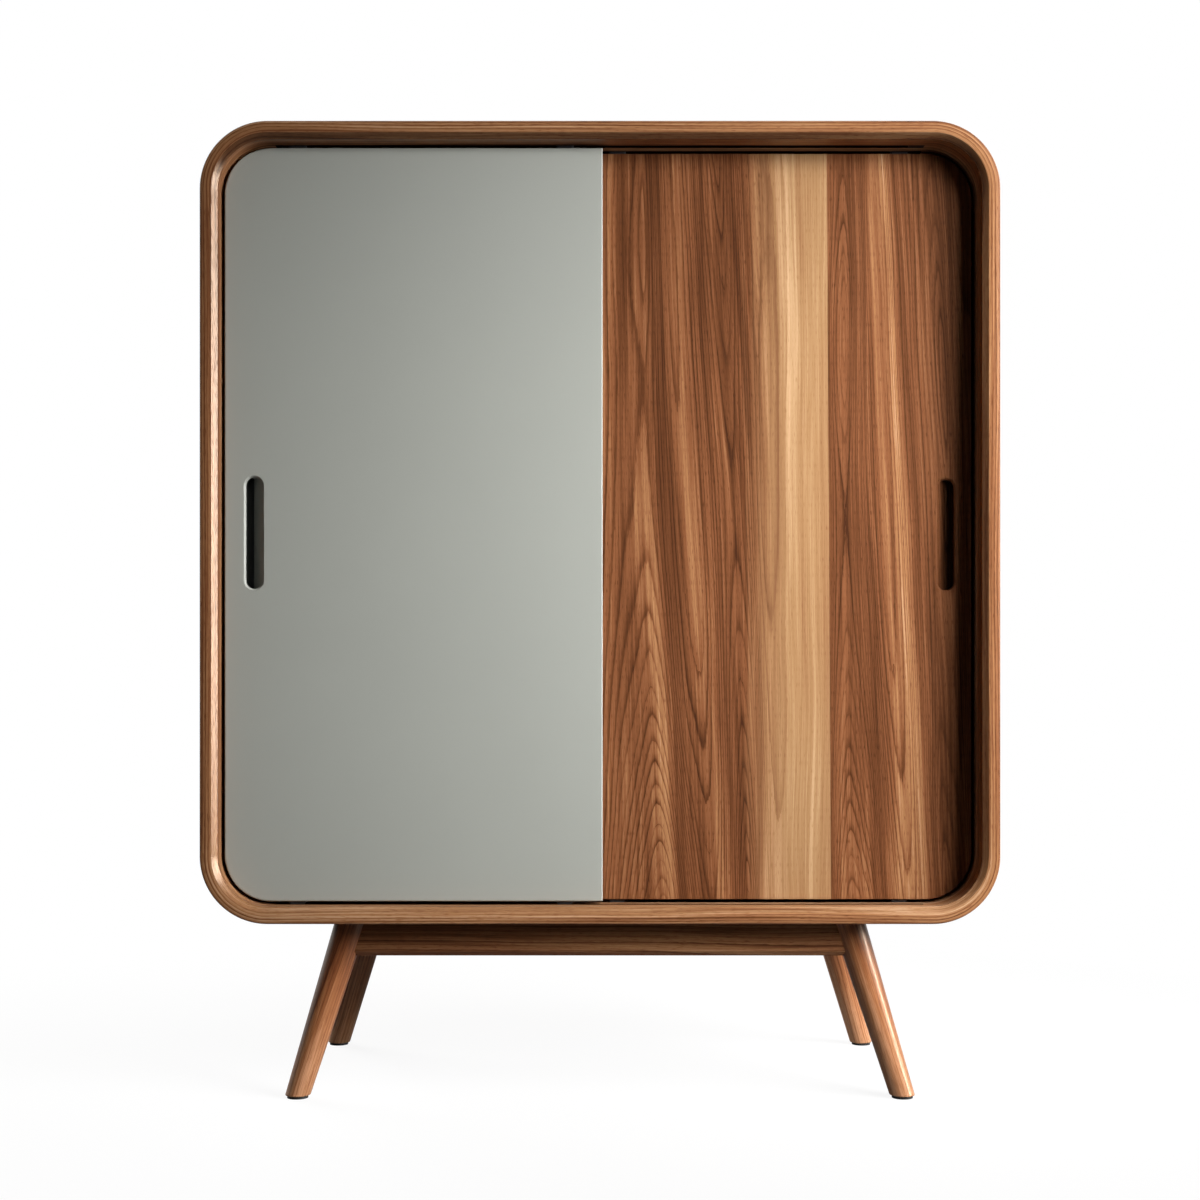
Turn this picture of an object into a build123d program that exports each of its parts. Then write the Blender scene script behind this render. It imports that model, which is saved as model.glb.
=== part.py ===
# Sliding door cabinet: a round-cornered walnut highboard with two sliding doors that pass each other,
# on a splayed-leg base. Millimetres, +Z up, front towards -Y.
# The origin is on the floor, under the middle of the cabinet.

import math
import os

from build123d import *

# Case
body_width = 900.0
body_height = 903.0
body_depth = 400.0
leg_height = 203.0
case_wall = 19.0
corner_radius = 76.0
rim_chamfer = 6.0
case_arris = 1.0
fit_gap = 0.1

# Screws, pins, dowels and the holes for them are prisms with this many sides, measured across flats
small_round_sides = 6

# Back panel, screwed into a rebate behind
back_panel_thickness = 6.0
rebate_width = 9.0
rebate_depth = 8.0
back_panel_gap = 0.5
back_screws_up_side = 4
back_screws_across = 4
back_screws_in_divider = 2
back_screw_end_inset = 30.0

# Loose tongues between the panels and the bent corners
tongue_thickness = 4.0
tongue_width = 20.0
tongue_length = 280.0

# Divider, shelves and pins
divider_thickness = 18.0
divider_clearance = 4.0
dowel_diameter = 8.0
dowel_length = 30.0
dowel_depth_in_case = 12.0
dowel_inset = 50.0
dowels_per_end = 3
shelf_thickness = 18.0
shelf_rows = 2
shelf_setback = 8.0
shelf_back_gap = 2.0
shelf_end_gap = 1.0
pin_diameter = 5.0
pin_depth = 8.0
pin_nose = 8.0
pin_inset = 40.0
pin_pitch = 32.0
pin_holes_per_column = 3

# Doors
door_thickness = 18.0
door_recess = 24.0
door_gap = 4.0
door_pass_gap = 4.0
front_door_past_centre = 3.0
rear_door_past_centre = 23.0
open_door_side_gap = 46.0
front_door_edge_radius = 1.5
rear_door_edge_radius = 1.0

# Finger pulls, routed into the doors
pull_width = 19.0
pull_height = 127.0
pull_depth = 14.0
pull_shallow_depth = 4.0
pull_channel_width = 7.0
pull_chamfer = 2.0
pull_centre_above_door_bottom = 419.0
front_pull_inset = 33.5
rear_pull_inset = 29.5

# Tracks let into the case, and the stops at their ends
track_end_gap = 4.0
track_width = 10.0
track_wall = 1.2
track_web = 1.5
bottom_channel_depth = 3.8
top_channel_depth = 9.5
track_screw_inset = 40.0
track_screws_each = 3
stop_travel_gap = 0.3

# Running gear in the doors
wheel_radius = 10.0
wheel_width = 5.6
wheel_running_gap = 0.3
bush_radius = 2.5
bush_overhang = 0.3
axle_radius = 1.5
axle_running_gap = 0.05
outer_wheel_inset = 82.0
inner_wheel_inset = 43.0
housing_length = 56.0
housing_width = 12.0
housing_height = 26.0
housing_screw_offset = 20.0
wheel_side_gap = 0.5
wheel_end_gap = 2.0
guide_base_length = 44.0
guide_base_width = 10.0
guide_base_depth = 14.0
guide_tongue_length = 20.0
guide_tongue_rise = 9.0
guide_tongue_chamfer = 2.0
guide_play = 0.5
guide_screw_offset = 16.0

# Base: rails, legs, corner braces and foot pads
leg_foot_inset_x = 103.0
leg_foot_inset_y = 38.0
leg_top_inset_x = 163.0
leg_top_inset_y = 67.0
leg_top_radius = 18.7
leg_foot_radius = 13.7
pad_thickness = 3.0
pad_radius = 12.0
rail_height = 43.0
rail_thickness = 20.0
rail_chamfer = 5.5
leg_joint_gap = 0.1
brace_reach = 60.0
brace_thickness = 22.0
leg_bolt_radius = 3.0
leg_bolt_depth = 6.0
leg_bolt_drop = 9.0
washer_radius = 7.0
washer_thickness = 1.6
nut_radius = 5.8
nut_sides = 6
nut_thickness = 5.0
bolt_end_past_nut = 3.0
rail_screw_reach = 133.0
rail_screws_each = 2
brace_screw_offset = 18.0

# Screws: head radius, shank radius and length
bottom_track_screw = (2.5, 1.25, 12.0)
top_track_screw = (2.5, 1.25, 7.5)
back_screw = (3.0, 1.5, 20.0)
door_screw = (2.6, 1.5, 40.0)
guide_screw = (2.6, 1.5, 26.0)
base_screw = (4.0, 2.2, 34.0)
pilot_gap = 0.05
counterbore_gap = 0.5
base_screw_bite = 11.0

# Places worked out from the sizes above
half_width = body_width / 2
front_y = -body_depth / 2
back_y = body_depth / 2
case_bottom = leg_height
case_top = leg_height + body_height
inner_bottom = case_bottom + case_wall
inner_top = case_top - case_wall
inner_side = half_width - case_wall
bend_x = half_width - corner_radius
bend_low = case_bottom + corner_radius
bend_high = case_top - corner_radius
inner_radius = corner_radius - case_wall
rebate_y = back_y - rebate_depth
door_bottom = inner_bottom + door_gap
door_top = inner_top - door_gap
door_side = inner_side - door_gap
door_corner_radius = inner_radius - door_gap
front_door_y = front_y + door_recess + door_thickness / 2
rear_door_y = front_door_y + door_thickness + door_pass_gap
divider_front = rear_door_y + door_thickness / 2 + divider_clearance
tongue_middle = divider_front + tongue_length / 2
track_length = 2 * (bend_x - track_end_gap)
open_door_edge = inner_side - open_door_side_gap
front_door_travel = open_door_edge - front_door_past_centre
rear_door_travel = open_door_edge - rear_door_past_centre

os.makedirs("parts", exist_ok=True)


def write_piece(piece, name):
    """Labels a finished piece and writes its file."""
    piece.part.label = name
    export_step(piece.part, f"parts/{name}.step")


def spread(low, high, count):
    """Evenly spaced places from low to high, both included."""
    return [low + (high - low) * i / (count - 1) for i in range(count)]


def level(z, x=0.0, y=0.0):
    """A horizontal plane at a height, facing up."""
    return Plane(origin=(x, y, z), x_dir=(1, 0, 0), z_dir=(0, 0, 1))


def upright(y, x=0.0, z=0.0):
    """A vertical plane that faces the front, with its x to the right and its y up."""
    return Plane(origin=(x, y, z), x_dir=(1, 0, 0), z_dir=(0, -1, 0))


def crosswise(x, y=0.0, z=0.0):
    """A vertical plane that faces the right, with its x to the back and its y up."""
    return Plane(origin=(x, y, z), x_dir=(0, 1, 0), z_dir=(1, 0, 0))


# Screws, each made once at the origin with its head's face on the ground plane, pointing down


def small_round(radius, mode=Mode.ADD):
    """The outline of a small round thing, in the sketch being drawn."""
    return RegularPolygon(radius, small_round_sides, major_radius=False, mode=mode)


def screw_section(z, radius):
    """A screw's cross-section at a depth."""
    with BuildSketch(level(z)) as section:
        small_round(radius)
    return section.sketch


def make_screw(size, clearance=0.0):
    """A countersunk screw: cone head, straight shank and a pointed end. A clearance makes its hole."""
    head_radius, shank_radius, length = size
    neck_z = shank_radius - head_radius
    tip_z = shank_radius - length
    head = screw_section(0, head_radius + clearance)
    neck = screw_section(neck_z, shank_radius + clearance)
    shank_end = screw_section(tip_z, shank_radius + clearance)
    with BuildPart() as screw:
        loft(sections=[head.face(), neck.face()], ruled=True)
        extrude(neck, amount=tip_z - neck_z)
        loft(sections=[shank_end.face(), Vertex(0, 0, -length - clearance)], ruled=True)
    return screw


def cut_screw_holes(places, size):
    """Holes for screws in the piece being built: countersunk where their heads are, pilots beyond."""
    hole = make_screw(size, pilot_gap)
    with Locations(*places):
        add(hole.part, mode=Mode.SUBTRACT)


def scatter(piece, places):
    """Copies of one piece at each place, as one group of separate solids."""
    with BuildPart() as group:
        with Locations(*places):
            add(piece.part)
    return group


# The case: four straight panels and four bent corners with one wall section


def wall_plane(x, z, inward):
    """The plane of a wall section, with its x pointing from the outer face into the case."""
    along = Vector(*inward).cross(Vector(0, 1, 0))
    return Plane(origin=(x, 0, z), x_dir=inward, z_dir=along)


def wall_section(plane):
    """The wall's section: a chamfer inside the front rim, a rebate behind, eased outer edges."""
    with BuildSketch(plane) as section:
        with BuildLine():
            Polyline(
                (case_arris, front_y),
                (case_wall - rim_chamfer, front_y),
                (case_wall, front_y + rim_chamfer),
                (case_wall, rebate_y),
                (case_wall - rebate_width, rebate_y),
                (case_wall - rebate_width, back_y),
                (case_arris, back_y),
                (0, back_y - case_arris),
                (0, front_y + case_arris),
                close=True,
            )
        make_face()
    return section.sketch


left_foot = wall_plane(-half_width, bend_low, (1, 0, 0))
left_head = wall_plane(-half_width, bend_high, (1, 0, 0))
top_start = wall_plane(-bend_x, case_top, (0, 0, -1))
top_end = wall_plane(bend_x, case_top, (0, 0, -1))
right_head = wall_plane(half_width, bend_high, (-1, 0, 0))
right_foot = wall_plane(half_width, bend_low, (-1, 0, 0))
bottom_start = wall_plane(bend_x, case_bottom, (0, 0, 1))
bottom_end = wall_plane(-bend_x, case_bottom, (0, 0, 1))
tongue_planes = [
    left_foot,
    left_head,
    top_start,
    top_end,
    right_head,
    right_foot,
    bottom_start,
    bottom_end,
]


def tongue_slot(plane):
    """The mouth of a stopped groove for a tongue, in a joint face of the case."""
    with BuildSketch(plane) as slot:
        with Locations((case_wall / 2, tongue_middle)):
            Rectangle(tongue_thickness + 2 * fit_gap, tongue_length + 2 * fit_gap)
    return slot.sketch


def cut_tongue_grooves(low_plane, high_plane):
    """Grooves in both joint faces of a panel that runs from the low plane to the high one."""
    groove_depth = tongue_width / 2 + fit_gap
    extrude(tongue_slot(low_plane), amount=groove_depth, mode=Mode.SUBTRACT)
    extrude(tongue_slot(high_plane), amount=-groove_depth, mode=Mode.SUBTRACT)


# Where the screws, pins and dowels go

pin_columns = [divider_front + pin_inset, rebate_y - pin_inset]
bay_height = (inner_top - inner_bottom - shelf_rows * shelf_thickness) / (shelf_rows + 1)
shelf_undersides = [
    inner_bottom + bay_height + row * (bay_height + shelf_thickness) for row in range(shelf_rows)
]
pin_levels = [underside - pin_diameter / 2 for underside in shelf_undersides]
pin_hole_levels = [
    z + pin_pitch * (i - (pin_holes_per_column - 1) / 2)
    for z in pin_levels
    for i in range(pin_holes_per_column)
]
dowel_columns = spread(divider_front + dowel_inset, rebate_y - dowel_inset, dowels_per_end)
track_screw_columns = spread(
    -track_length / 2 + track_screw_inset, track_length / 2 - track_screw_inset, track_screws_each
)
door_lines = {"front": front_door_y, "rear": rear_door_y}
bottom_track_floor = inner_bottom - bottom_channel_depth
top_track_roof = inner_top + top_channel_depth


def bottom_screw_places(y):
    """Where the screws of the bottom track at y sit, pointing down."""
    return [Location((x, y, bottom_track_floor)) for x in track_screw_columns]


def top_screw_places(y):
    """Where the screws of the top track at y sit, pointing up."""
    return [Location((x, y, top_track_roof), (180, 0, 0)) for x in track_screw_columns]


all_bottom_screw_places = [place for y in door_lines.values() for place in bottom_screw_places(y)]
all_top_screw_places = [place for y in door_lines.values() for place in top_screw_places(y)]

back_face = rebate_y + back_panel_thickness
screw_ring_x = half_width - case_wall + rebate_width / 2
screw_ring_low = inner_bottom - rebate_width / 2
screw_ring_high = inner_top + rebate_width / 2
back_screw_spots = []
back_screw_low = bend_low + back_screw_end_inset
back_screw_high = bend_high - back_screw_end_inset
back_screw_side = bend_x - back_screw_end_inset
for spot_z in spread(back_screw_low, back_screw_high, back_screws_up_side):
    back_screw_spots.append((-screw_ring_x, spot_z))
    back_screw_spots.append((screw_ring_x, spot_z))
for spot_x in spread(-back_screw_side, back_screw_side, back_screws_across):
    back_screw_spots.append((spot_x, screw_ring_low))
    back_screw_spots.append((spot_x, screw_ring_high))
for spot_z in spread(back_screw_low, back_screw_high, back_screws_in_divider):
    back_screw_spots.append((0, spot_z))
back_screw_places = [Location((x, back_face, z), (-90, 0, 0)) for x, z in back_screw_spots]


def cut_pin_holes(x, towards):
    """Rows of blind holes for shelf pins in an inner face whose hollow lies at towards."""
    for y in pin_columns:
        for z in pin_hole_levels:
            with BuildSketch(crosswise(x, y, z)) as mouth:
                small_round(pin_diameter / 2)
            extrude(mouth.sketch, amount=towards * (pin_depth + fit_gap), mode=Mode.SUBTRACT)


def cut_track_grooves(z, depth):
    """The two grooves that take the tracks, routed from an inner face of the case."""
    for y in door_lines.values():
        with BuildSketch(level(z)) as mouth:
            with Locations((0, y)):
                Rectangle(track_length + 2 * fit_gap, track_width + 2 * fit_gap)
        extrude(mouth.sketch, amount=depth, mode=Mode.SUBTRACT)


def cut_dowel_holes(z, depth):
    """Holes for the divider's dowels, from an end face of the divider or an inner face of the case."""
    for y in dowel_columns:
        with BuildSketch(level(z)) as mouth:
            with Locations((0, y)):
                small_round(dowel_diameter / 2 + pilot_gap)
        extrude(mouth.sketch, amount=depth, mode=Mode.SUBTRACT)


bottom_groove_depth = bottom_channel_depth + track_web + fit_gap
top_groove_depth = top_channel_depth + track_web + fit_gap
dowel_hole_in_case = dowel_depth_in_case + fit_gap

with BuildPart() as left_side_panel:
    extrude(wall_section(left_foot), amount=bend_high - bend_low)
    cut_tongue_grooves(left_foot, left_head)
    cut_pin_holes(-inner_side, -1)
    cut_screw_holes(back_screw_places, back_screw)

with BuildPart() as right_side_panel:
    extrude(wall_section(right_head), amount=bend_high - bend_low)
    cut_tongue_grooves(right_head, right_foot)
    cut_pin_holes(inner_side, 1)
    cut_screw_holes(back_screw_places, back_screw)

with BuildPart() as top_panel:
    extrude(wall_section(top_start), amount=2 * bend_x)
    cut_tongue_grooves(top_start, top_end)
    cut_track_grooves(inner_top, top_groove_depth)
    cut_dowel_holes(inner_top, dowel_hole_in_case)
    cut_screw_holes(all_top_screw_places, top_track_screw)
    cut_screw_holes(back_screw_places, back_screw)


# Base joinery: the legs lean outwards, and the rails and braces lean with them

leg_top_x = half_width - leg_top_inset_x
leg_top_y = back_y - leg_top_inset_y
leg_foot_x = half_width - leg_foot_inset_x
leg_foot_y = back_y - leg_foot_inset_y
rail_bottom = case_bottom - rail_height
rail_middle = case_bottom - rail_height / 2
corners = {
    "front_left": (-1, -1),
    "front_right": (1, -1),
    "rear_left": (-1, 1),
    "rear_right": (1, 1),
}


def leg_x(z):
    """Distance of a leg's axis from the middle of the cabinet, left or right, at a height."""
    return leg_top_x + (leg_foot_x - leg_top_x) * (case_bottom - z) / leg_height


def leg_y(z):
    """Distance of a leg's axis from the middle of the cabinet, front or back, at a height."""
    return leg_top_y + (leg_foot_y - leg_top_y) * (case_bottom - z) / leg_height


def make_leg_cone(side_x, side_y, extra_radius):
    """A turned taper round a leg's leaning axis, cut level under the case and above the pad."""
    foot = Vector(side_x * leg_foot_x, side_y * leg_foot_y, 0)
    head = Vector(side_x * leg_top_x, side_y * leg_top_y, case_bottom)
    axis = (head - foot).normalized()
    length = (head - foot).length
    taper = (leg_top_radius - leg_foot_radius) / length
    low = -leg_foot_radius
    high = length + leg_top_radius
    sideways = axis.cross(Vector(0, 0, 1))
    with BuildPart() as leg:
        with BuildSketch(Plane(origin=foot, x_dir=sideways, z_dir=sideways.cross(axis))):
            with BuildLine():
                Polyline(
                    (0, low),
                    (leg_foot_radius + taper * low + extra_radius, low),
                    (leg_foot_radius + taper * high + extra_radius, high),
                    (0, high),
                    close=True,
                )
            make_face()
        revolve(axis=Axis(foot, axis))
        split(bisect_by=level(case_bottom), keep=Keep.BOTTOM)
        split(bisect_by=level(pad_thickness), keep=Keep.TOP)
    return leg


leg_clearances = {
    name: make_leg_cone(side_x, side_y, leg_joint_gap) for name, (side_x, side_y) in corners.items()
}


def leg_bolt_plane(side_x, side_y):
    """Square to a brace's inner face, with its origin on the leg's axis and facing the leg."""
    along_leg = Vector(
        side_x * (leg_foot_x - leg_top_x), side_y * (leg_foot_y - leg_top_y), -leg_height
    )
    along_face = Vector(side_x, -side_y, 0)
    inward = along_face.cross(along_leg).normalized()
    if inward.X * side_x > 0:
        inward = inward * -1
    z = case_bottom - leg_bolt_drop
    origin = (side_x * leg_x(z), side_y * leg_y(z), z)
    return Plane(origin=origin, z_dir=inward * -1)


def brace_face_distance():
    """From a leg's axis to the inner face of its brace, square to that face."""
    plane = leg_bolt_plane(1, 1)
    x = leg_top_x - rail_thickness / 2 - brace_reach
    y = leg_top_y - rail_thickness / 2
    return (plane.origin - Vector(x, y, case_bottom)).dot(plane.z_dir)


brace_distance = brace_face_distance()

rail_screw_columns = spread(-rail_screw_reach, rail_screw_reach, rail_screws_each)
rail_screw_y = leg_y(rail_middle)
brace_middle_inset = rail_thickness / 2 + brace_reach / 2 - brace_thickness / math.sqrt(8)
brace_screw_shift = brace_screw_offset / math.sqrt(2)
base_screw_seat = case_bottom - base_screw[2] + base_screw_bite
base_screw_places = []
for screw_x in rail_screw_columns:
    for side_y in (-1, 1):
        base_screw_places.append(Location((screw_x, side_y * rail_screw_y, base_screw_seat), (180, 0, 0)))
for side_x, side_y in corners.values():
    for shift in (-brace_screw_shift, brace_screw_shift):
        screw_x = side_x * (leg_x(rail_middle) - brace_middle_inset + shift)
        screw_y = side_y * (leg_y(rail_middle) - brace_middle_inset - shift)
        base_screw_places.append(Location((screw_x, screw_y, base_screw_seat), (180, 0, 0)))


def cut_base_screw_holes():
    """Counterbored, countersunk holes from below, for the screws up into the case."""
    cut_screw_holes(base_screw_places, base_screw)
    for place in base_screw_places:
        with BuildSketch(level(base_screw_seat, place.position.X, place.position.Y)) as mouth:
            small_round(base_screw[0] + counterbore_gap)
        extrude(mouth.sketch, amount=rail_bottom - base_screw_seat, mode=Mode.SUBTRACT)


with BuildPart() as bottom_panel:
    extrude(wall_section(bottom_start), amount=2 * bend_x)
    cut_tongue_grooves(bottom_start, bottom_end)
    cut_track_grooves(inner_bottom, -bottom_groove_depth)
    cut_dowel_holes(inner_bottom, -dowel_hole_in_case)
    cut_screw_holes(all_bottom_screw_places, bottom_track_screw)
    cut_screw_holes(back_screw_places, back_screw)
    cut_screw_holes(base_screw_places, base_screw)


def make_corner(start_plane, end_plane, x, z):
    """A bent corner: the wall's section turned a quarter round the bend's axis."""
    groove_depth = tongue_width / 2 + fit_gap
    with BuildPart() as corner:
        revolve(wall_section(start_plane), axis=Axis((x, 0, z), (0, 1, 0)), revolution_arc=90)
        extrude(tongue_slot(start_plane), amount=groove_depth, mode=Mode.SUBTRACT)
        extrude(tongue_slot(end_plane), amount=-groove_depth, mode=Mode.SUBTRACT)
    return corner


top_left_corner = make_corner(left_head, top_start, -bend_x, bend_high)
top_right_corner = make_corner(top_end, right_head, bend_x, bend_high)
bottom_right_corner = make_corner(right_foot, bottom_start, bend_x, bend_low)
bottom_left_corner = make_corner(bottom_end, left_foot, -bend_x, bend_low)

with BuildPart() as corner_tongues:
    for joint_plane in tongue_planes:
        with BuildSketch(joint_plane.offset(-tongue_width / 2)) as tongue:
            with Locations((case_wall / 2, tongue_middle)):
                Rectangle(tongue_thickness, tongue_length)
        extrude(amount=tongue_width)

with BuildPart() as back_panel:
    with BuildSketch(upright(rebate_y, z=(case_bottom + case_top) / 2)):
        RectangleRounded(
            2 * (inner_side + rebate_width - back_panel_gap),
            inner_top - inner_bottom + 2 * (rebate_width - back_panel_gap),
            inner_radius + rebate_width - back_panel_gap,
        )
    extrude(amount=-back_panel_thickness)
    cut_screw_holes(back_screw_places, back_screw)

back_panel_screws = scatter(make_screw(back_screw), back_screw_places)

# Divider, shelves and pins

with BuildPart() as centre_divider:
    with BuildSketch(level(inner_bottom)):
        with Locations((0, (divider_front + rebate_y) / 2)):
            Rectangle(divider_thickness, rebate_y - divider_front)
    extrude(amount=inner_top - inner_bottom)
    dowel_hole_in_divider = dowel_length - dowel_depth_in_case + fit_gap
    cut_dowel_holes(inner_bottom, dowel_hole_in_divider)
    cut_dowel_holes(inner_top, -dowel_hole_in_divider)
    cut_screw_holes(back_screw_places, back_screw)
    for hole_y in pin_columns:
        for hole_z in pin_hole_levels:
            with BuildSketch(crosswise(-divider_thickness / 2, hole_y, hole_z)):
                small_round(pin_diameter / 2)
    extrude(amount=divider_thickness, mode=Mode.SUBTRACT)

with BuildPart() as divider_dowels:
    for dowel_y in dowel_columns:
        for dowel_foot in (
            inner_bottom - dowel_depth_in_case,
            inner_top + dowel_depth_in_case - dowel_length,
        ):
            with BuildSketch(level(dowel_foot, 0, dowel_y)):
                small_round(dowel_diameter / 2)
    extrude(amount=dowel_length)

shelf_front = divider_front + shelf_setback
shelf_back = rebate_y - shelf_back_gap
shelf_inner_x = divider_thickness / 2 + shelf_end_gap
shelf_outer_x = inner_side - shelf_end_gap


def make_shelf(side_x, underside):
    """A loose shelf in one compartment, resting on its pins."""
    with BuildPart() as shelf:
        with BuildSketch(level(underside)):
            with Locations((side_x * (shelf_inner_x + shelf_outer_x) / 2, (shelf_front + shelf_back) / 2)):
                Rectangle(shelf_outer_x - shelf_inner_x, shelf_back - shelf_front)
        extrude(amount=shelf_thickness)
        chamfer(shelf.edges().filter_by(Axis.X).group_by(Axis.Y)[0], length=case_arris)
    return shelf


pin_mouths = [-inner_side, -divider_thickness / 2, divider_thickness / 2, inner_side]
pin_ways = [1, -1, 1, -1]
with BuildPart() as shelf_pins:
    for mouth_x, way_out in zip(pin_mouths, pin_ways):
        for pin_y in pin_columns:
            for pin_z in pin_levels:
                with BuildSketch(crosswise(mouth_x - way_out * pin_depth, pin_y, pin_z)) as pin_end:
                    small_round(pin_diameter / 2 - fit_gap / 2)
                extrude(pin_end.sketch, amount=way_out * (pin_depth + pin_nose))

# Tracks and stops


def make_track(y, mouth_z, depth, screw_places, screw):
    """A channel let into the case, open at its mouth. A positive depth opens downwards."""
    way = math.copysign(1, depth)
    with BuildPart() as track:
        with BuildSketch(crosswise(-track_length / 2, y, mouth_z)):
            with Locations((0, (depth + way * track_web) / 2)):
                Rectangle(track_width, abs(depth) + track_web)
            with Locations((0, depth / 2)):
                Rectangle(track_width - 2 * track_wall, abs(depth), mode=Mode.SUBTRACT)
        extrude(amount=track_length)
        cut_screw_holes(screw_places, screw)
    return track


tracks = {}
for door_name, door_y in door_lines.items():
    tracks[f"{door_name}_bottom_track"] = make_track(
        door_y, inner_bottom, -bottom_channel_depth, bottom_screw_places(door_y), bottom_track_screw
    )
    tracks[f"{door_name}_top_track"] = make_track(
        door_y, inner_top, top_channel_depth, top_screw_places(door_y), top_track_screw
    )

long_track_screw = make_screw(bottom_track_screw)
short_track_screw = make_screw(top_track_screw)
with BuildPart() as track_screws:
    with Locations(*all_bottom_screw_places):
        add(long_track_screw.part)
    with Locations(*all_top_screw_places):
        add(short_track_screw.part)

# Doors: a panel with round outer corners, a finger pull and pockets for the running gear


def make_pull_cutter(x, z, face_y, outward):
    """The hollow of a finger pull: shallow towards the middle of the cabinet, deep at its outer side."""
    inner_x = x - outward * pull_width / 2
    outer_x = x + outward * pull_width / 2
    channel_x = outer_x - outward * pull_channel_width
    floor_y = face_y + pull_depth
    with BuildPart() as hollow:
        with BuildSketch(level(z - pull_height / 2)):
            with BuildLine():
                Polyline(
                    (inner_x, face_y),
                    (inner_x, face_y + pull_shallow_depth),
                    (channel_x, floor_y),
                    (outer_x, floor_y),
                    (outer_x, face_y),
                    close=True,
                )
            make_face()
        extrude(amount=pull_height)
        with BuildSketch(upright(floor_y, x, z)):
            SlotOverall(pull_height, pull_width, rotation=90)
        extrude(amount=pull_depth, mode=Mode.INTERSECT)
        with BuildSketch(upright(face_y, x, z)):
            SlotOverall(pull_height + 2 * pull_chamfer, pull_width + 2 * pull_chamfer, rotation=90)
        extrude(amount=-pull_chamfer, taper=45)
    return hollow


wheel_z = bottom_track_floor + wheel_running_gap + wheel_radius
wheel_slot_width = wheel_width + 2 * (bush_overhang + wheel_side_gap)
wheel_slot_length = 2 * (wheel_radius + wheel_end_gap)
wheel_slot_top = wheel_z + wheel_radius + wheel_end_gap
housing_top = door_bottom + housing_height
guide_seat = door_top - guide_base_depth
guide_tongue_top = door_top + guide_tongue_rise
guide_tongue_width = track_width - 2 * track_wall - 2 * guide_play


def make_door(low_x, high_x, y, outward, edge_radius, pull_x, gear_x):
    """A door panel: round corners at its outer side, square ones where the doors pass."""
    face_y = y - door_thickness / 2
    with BuildPart() as door:
        with BuildSketch(upright(y + door_thickness / 2, (low_x + high_x) / 2, (door_bottom + door_top) / 2)):
            outline = Rectangle(high_x - low_x, door_top - door_bottom)
            outer_corners = outline.vertices().sort_by(Axis.X, reverse=outward > 0)[:2]
            fillet(outer_corners, radius=door_corner_radius)
        extrude(amount=door_thickness)
        fillet(door.faces().sort_by(Axis.Y)[0].edges(), radius=edge_radius)
        add(
            make_pull_cutter(pull_x, door_bottom + pull_centre_above_door_bottom, face_y, outward).part,
            mode=Mode.SUBTRACT,
        )
        for x in gear_x:
            with BuildSketch(level(door_bottom, x, y)) as housing_pocket:
                Rectangle(housing_length + 2 * fit_gap, housing_width + 2 * fit_gap)
            extrude(housing_pocket.sketch, amount=housing_height + fit_gap, mode=Mode.SUBTRACT)
            with BuildSketch(level(door_top, x, y)) as guide_pocket:
                Rectangle(guide_base_length + 2 * fit_gap, guide_base_width + 2 * fit_gap)
            extrude(guide_pocket.sketch, amount=-guide_base_depth - fit_gap, mode=Mode.SUBTRACT)
        cut_screw_holes(housing_screw_places(gear_x, y), door_screw)
        cut_screw_holes(guide_screw_places(gear_x, y), guide_screw)
    return door


def housing_screw_places(gear_x, y):
    """Screws up through the ends of the roller housings."""
    screw_x = [x + way * housing_screw_offset for x in gear_x for way in (-1, 1)]
    return [Location((x, y, door_bottom), (180, 0, 0)) for x in screw_x]


def guide_screw_places(gear_x, y):
    """Screws down through the ends of the top guides."""
    screw_x = [x + way * guide_screw_offset for x in gear_x for way in (-1, 1)]
    return [Location((x, y, door_top)) for x in screw_x]


def make_roller_housing(x, y):
    """The block that holds a wheel in the door's bottom edge, with the wheel's slot and axle hole."""
    with BuildPart() as housing:
        with BuildSketch(level(door_bottom, x, y)):
            Rectangle(housing_length, housing_width)
        extrude(amount=housing_height)
        with BuildSketch(level(door_bottom, x, y)):
            Rectangle(wheel_slot_length, wheel_slot_width)
        extrude(amount=wheel_slot_top - door_bottom, mode=Mode.SUBTRACT)
        with BuildSketch(upright(y, x, wheel_z)):
            small_round(axle_radius)
        extrude(amount=housing_width / 2, both=True, mode=Mode.SUBTRACT)
        cut_screw_holes(housing_screw_places([x], y), door_screw)
    return housing


def make_axles(gear_x, y):
    """The axle pins of one door's wheels."""
    with BuildPart() as axles:
        for x in gear_x:
            with BuildSketch(upright(y, x, wheel_z)):
                Circle(axle_radius)
        extrude(amount=housing_width / 2, both=True)
    return axles


def make_wheel(x, y):
    """A running wheel with a flat tread, bored for its bush."""
    with BuildPart() as wheel:
        with BuildSketch(upright(y, x, wheel_z)):
            Circle(wheel_radius)
            Circle(bush_radius, mode=Mode.SUBTRACT)
        extrude(amount=wheel_width / 2, both=True)
    return wheel


def make_bush(x, y):
    """The plain bearing bush pressed into a wheel."""
    with BuildPart() as bush:
        with BuildSketch(upright(y, x, wheel_z)):
            Circle(bush_radius)
            Circle(axle_radius + axle_running_gap, mode=Mode.SUBTRACT)
        extrude(amount=wheel_width / 2 + bush_overhang, both=True)
    return bush


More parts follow.
